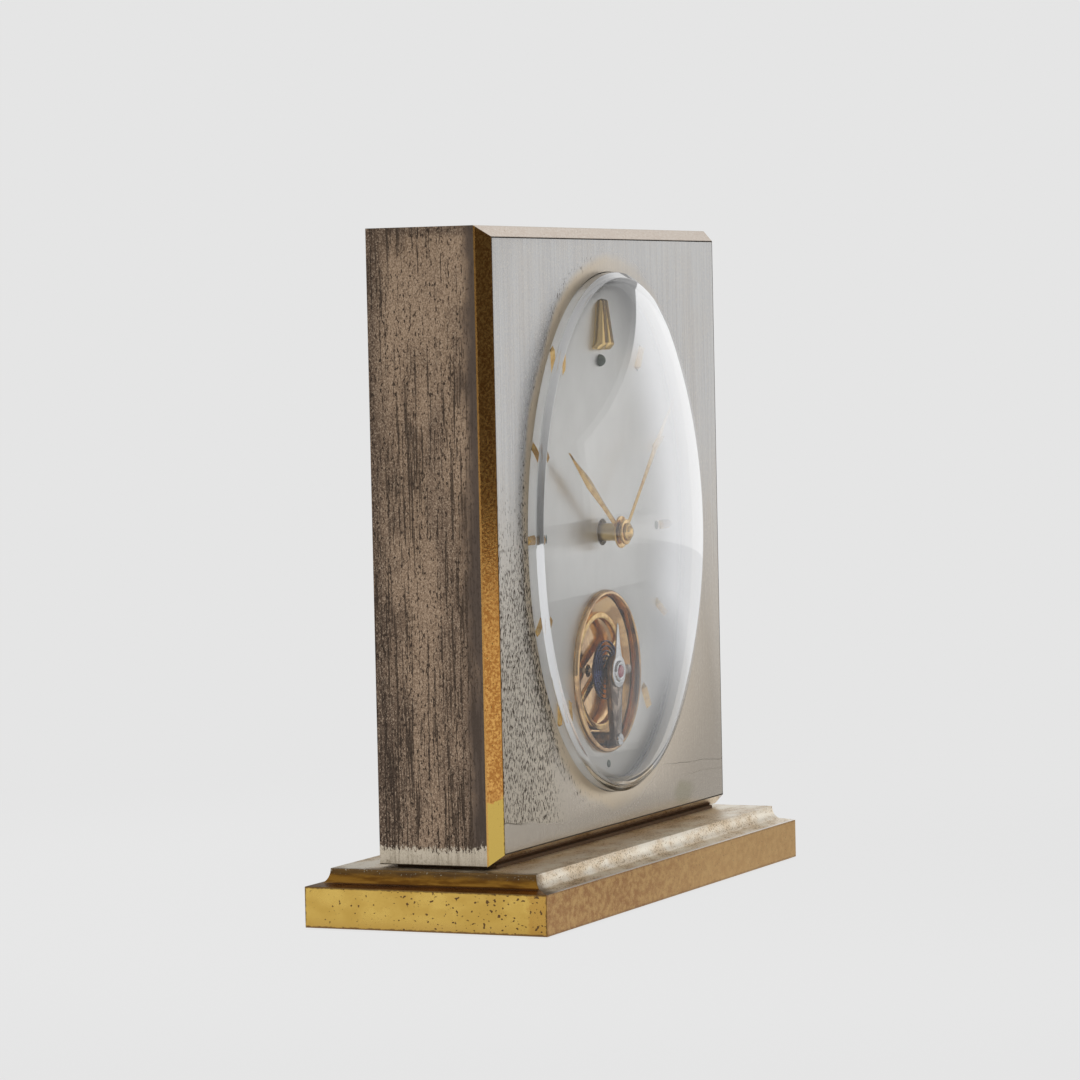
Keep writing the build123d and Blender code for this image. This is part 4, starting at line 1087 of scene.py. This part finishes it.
def level(name, near, far, height, finish):
    """A level rectangle between two corners, in metres like the light and the camera."""
    mesh = bpy.data.meshes.new(name)
    mesh.from_pydata([(near[0], near[1], height), (far[0], near[1], height), (far[0], far[1], height),
                      (near[0], far[1], height)], [], [(0, 1, 2, 3)])
    mesh.materials.append(finish)
    made = bpy.data.objects.new(name, mesh)
    bpy.context.scene.collection.objects.link(made)
    return made


table_top = Finish("pale_floor")
x, y, z = table_top.axes()
far = (x ** 2 + y ** 2) ** 0.5
glow = table_top.node("ShaderNodeEmission", {}, {"Color": pale, "Strength": 1.0})
near_glow = table_top.node("ShaderNodeEmission", {}, {"Color": pale, "Strength": 0.945})
matt = table_top.node("ShaderNodeBsdfDiffuse", {}, {"Color": (0.07, 0.07, 0.07)})
soft = table_top.node("ShaderNodeAddShader", {}, {0: near_glow, 1: matt})
blend = table_top.node("ShaderNodeMixShader", {}, {0: far.over(170.0, 70.0), 1: soft, 2: glow})
level("floor", (-0.8, -0.99), (1.0, 1.0), 0.0, table_top.show(blend))

reflected = Finish("table_glow")
x, y, z = reflected.axes()
# Painted shade: the card glows less near the clock, standing in for the table's shade there.
reach = (((x - 150.0) ** 2 + (y + 150.0) ** 2) ** 0.5).over(190.0, 120.0)
painted_shade_near_clock = reflected.node("ShaderNodeEmission", {}, {"Color": (1, 1, 1), "Strength": 0.5})
strong = reflected.node("ShaderNodeEmission", {}, {"Color": pale, "Strength": 1.0})
gleam = level("table_glow", (-0.3, -0.9), (0.9, 0.45), 0.0005,
              reflected.show(reflected.node("ShaderNodeMixShader", {}, {0: reach, 1: painted_shade_near_clock, 2: strong})))
gleam.visible_camera = False
gleam.visible_shadow = False

world = bpy.data.worlds.new("room")
bpy.context.scene.world = world
world.use_nodes = True
world.node_tree.nodes.clear()
room = Nodes(world.node_tree)
way = room.node("ShaderNodeTexCoord", out="Generated")


def toward(direction):
    """How far a ray leans towards a direction, 0 to 1."""
    lean = room.node("ShaderNodeVectorMath", {"operation": "DOT_PRODUCT"},
                     {0: way, 1: Vector(direction).normalized()}, "Value")
    return lean.most(0.0)


glow = (0.26 + toward((-0.64, 0.77, 0.1)) ** 1.5 * 0.18 + toward((0.26, -0.97, 0.1)) ** 6 * 0.4
        + toward((0.88, 0.12, 0.44)) ** 24 * 0.55 + toward((0.0, 0.0, 1.0)) ** 2 * 0.2
        - toward((-0.6, -0.79, 0.03)) ** 12 * 0.2)
soft_room = room.node("ShaderNodeBackground", {}, {"Color": (1.0, 0.99, 0.975), "Strength": glow})
backdrop = room.node("ShaderNodeBackground", {}, {"Color": pale, "Strength": 1.0})
seen = room.node("ShaderNodeLightPath", out="Is Camera Ray")
both = room.node("ShaderNodeMixShader", {}, {0: seen, 1: soft_room, 2: backdrop})
room.node("ShaderNodeOutputWorld", {}, {"Surface": both}, None)


def panel(name, place, aim, wide, tall, radiance):
    """A soft rectangular light that the camera doesn't see."""
    lamp = bpy.data.lights.new(name, "AREA")
    lamp.shape, lamp.size, lamp.size_y, lamp.energy = "RECTANGLE", wide, tall, radiance * pi * wide * tall
    made = bpy.data.objects.new(name, lamp)
    bpy.context.scene.collection.objects.link(made)
    made.matrix_world = Matrix.Translation(place) @ (
        (Vector(aim) - Vector(place)).to_track_quat("-Z", "Y").to_matrix().to_4x4())
    made.visible_camera = False


panel("right_panel", (1.0, -0.55, 0.165), (0.0, -0.55, 0.165), 2.1, 0.33, 0.62)

camera = bpy.data.objects.new("camera", bpy.data.cameras.new("camera"))
camera.data.lens, camera.data.sensor_width = 149.53, 36.0
camera.data.clip_start, camera.data.clip_end = 0.01, 50.0
eye, heading, dip, roll = (-0.7456, -0.3341, 0.1038), -65.655, 2.754, -1.247
camera.matrix_world = (Matrix.Translation(eye) @ Matrix.Rotation(radians(heading), 4, "Z")
                       @ Matrix.Rotation(radians(90 - dip), 4, "X")
                       @ Matrix.Rotation(radians(roll), 4, "Z"))
bpy.context.scene.collection.objects.link(camera)
bpy.context.scene.camera = camera
bpy.context.scene.view_settings.view_transform = "Standard"
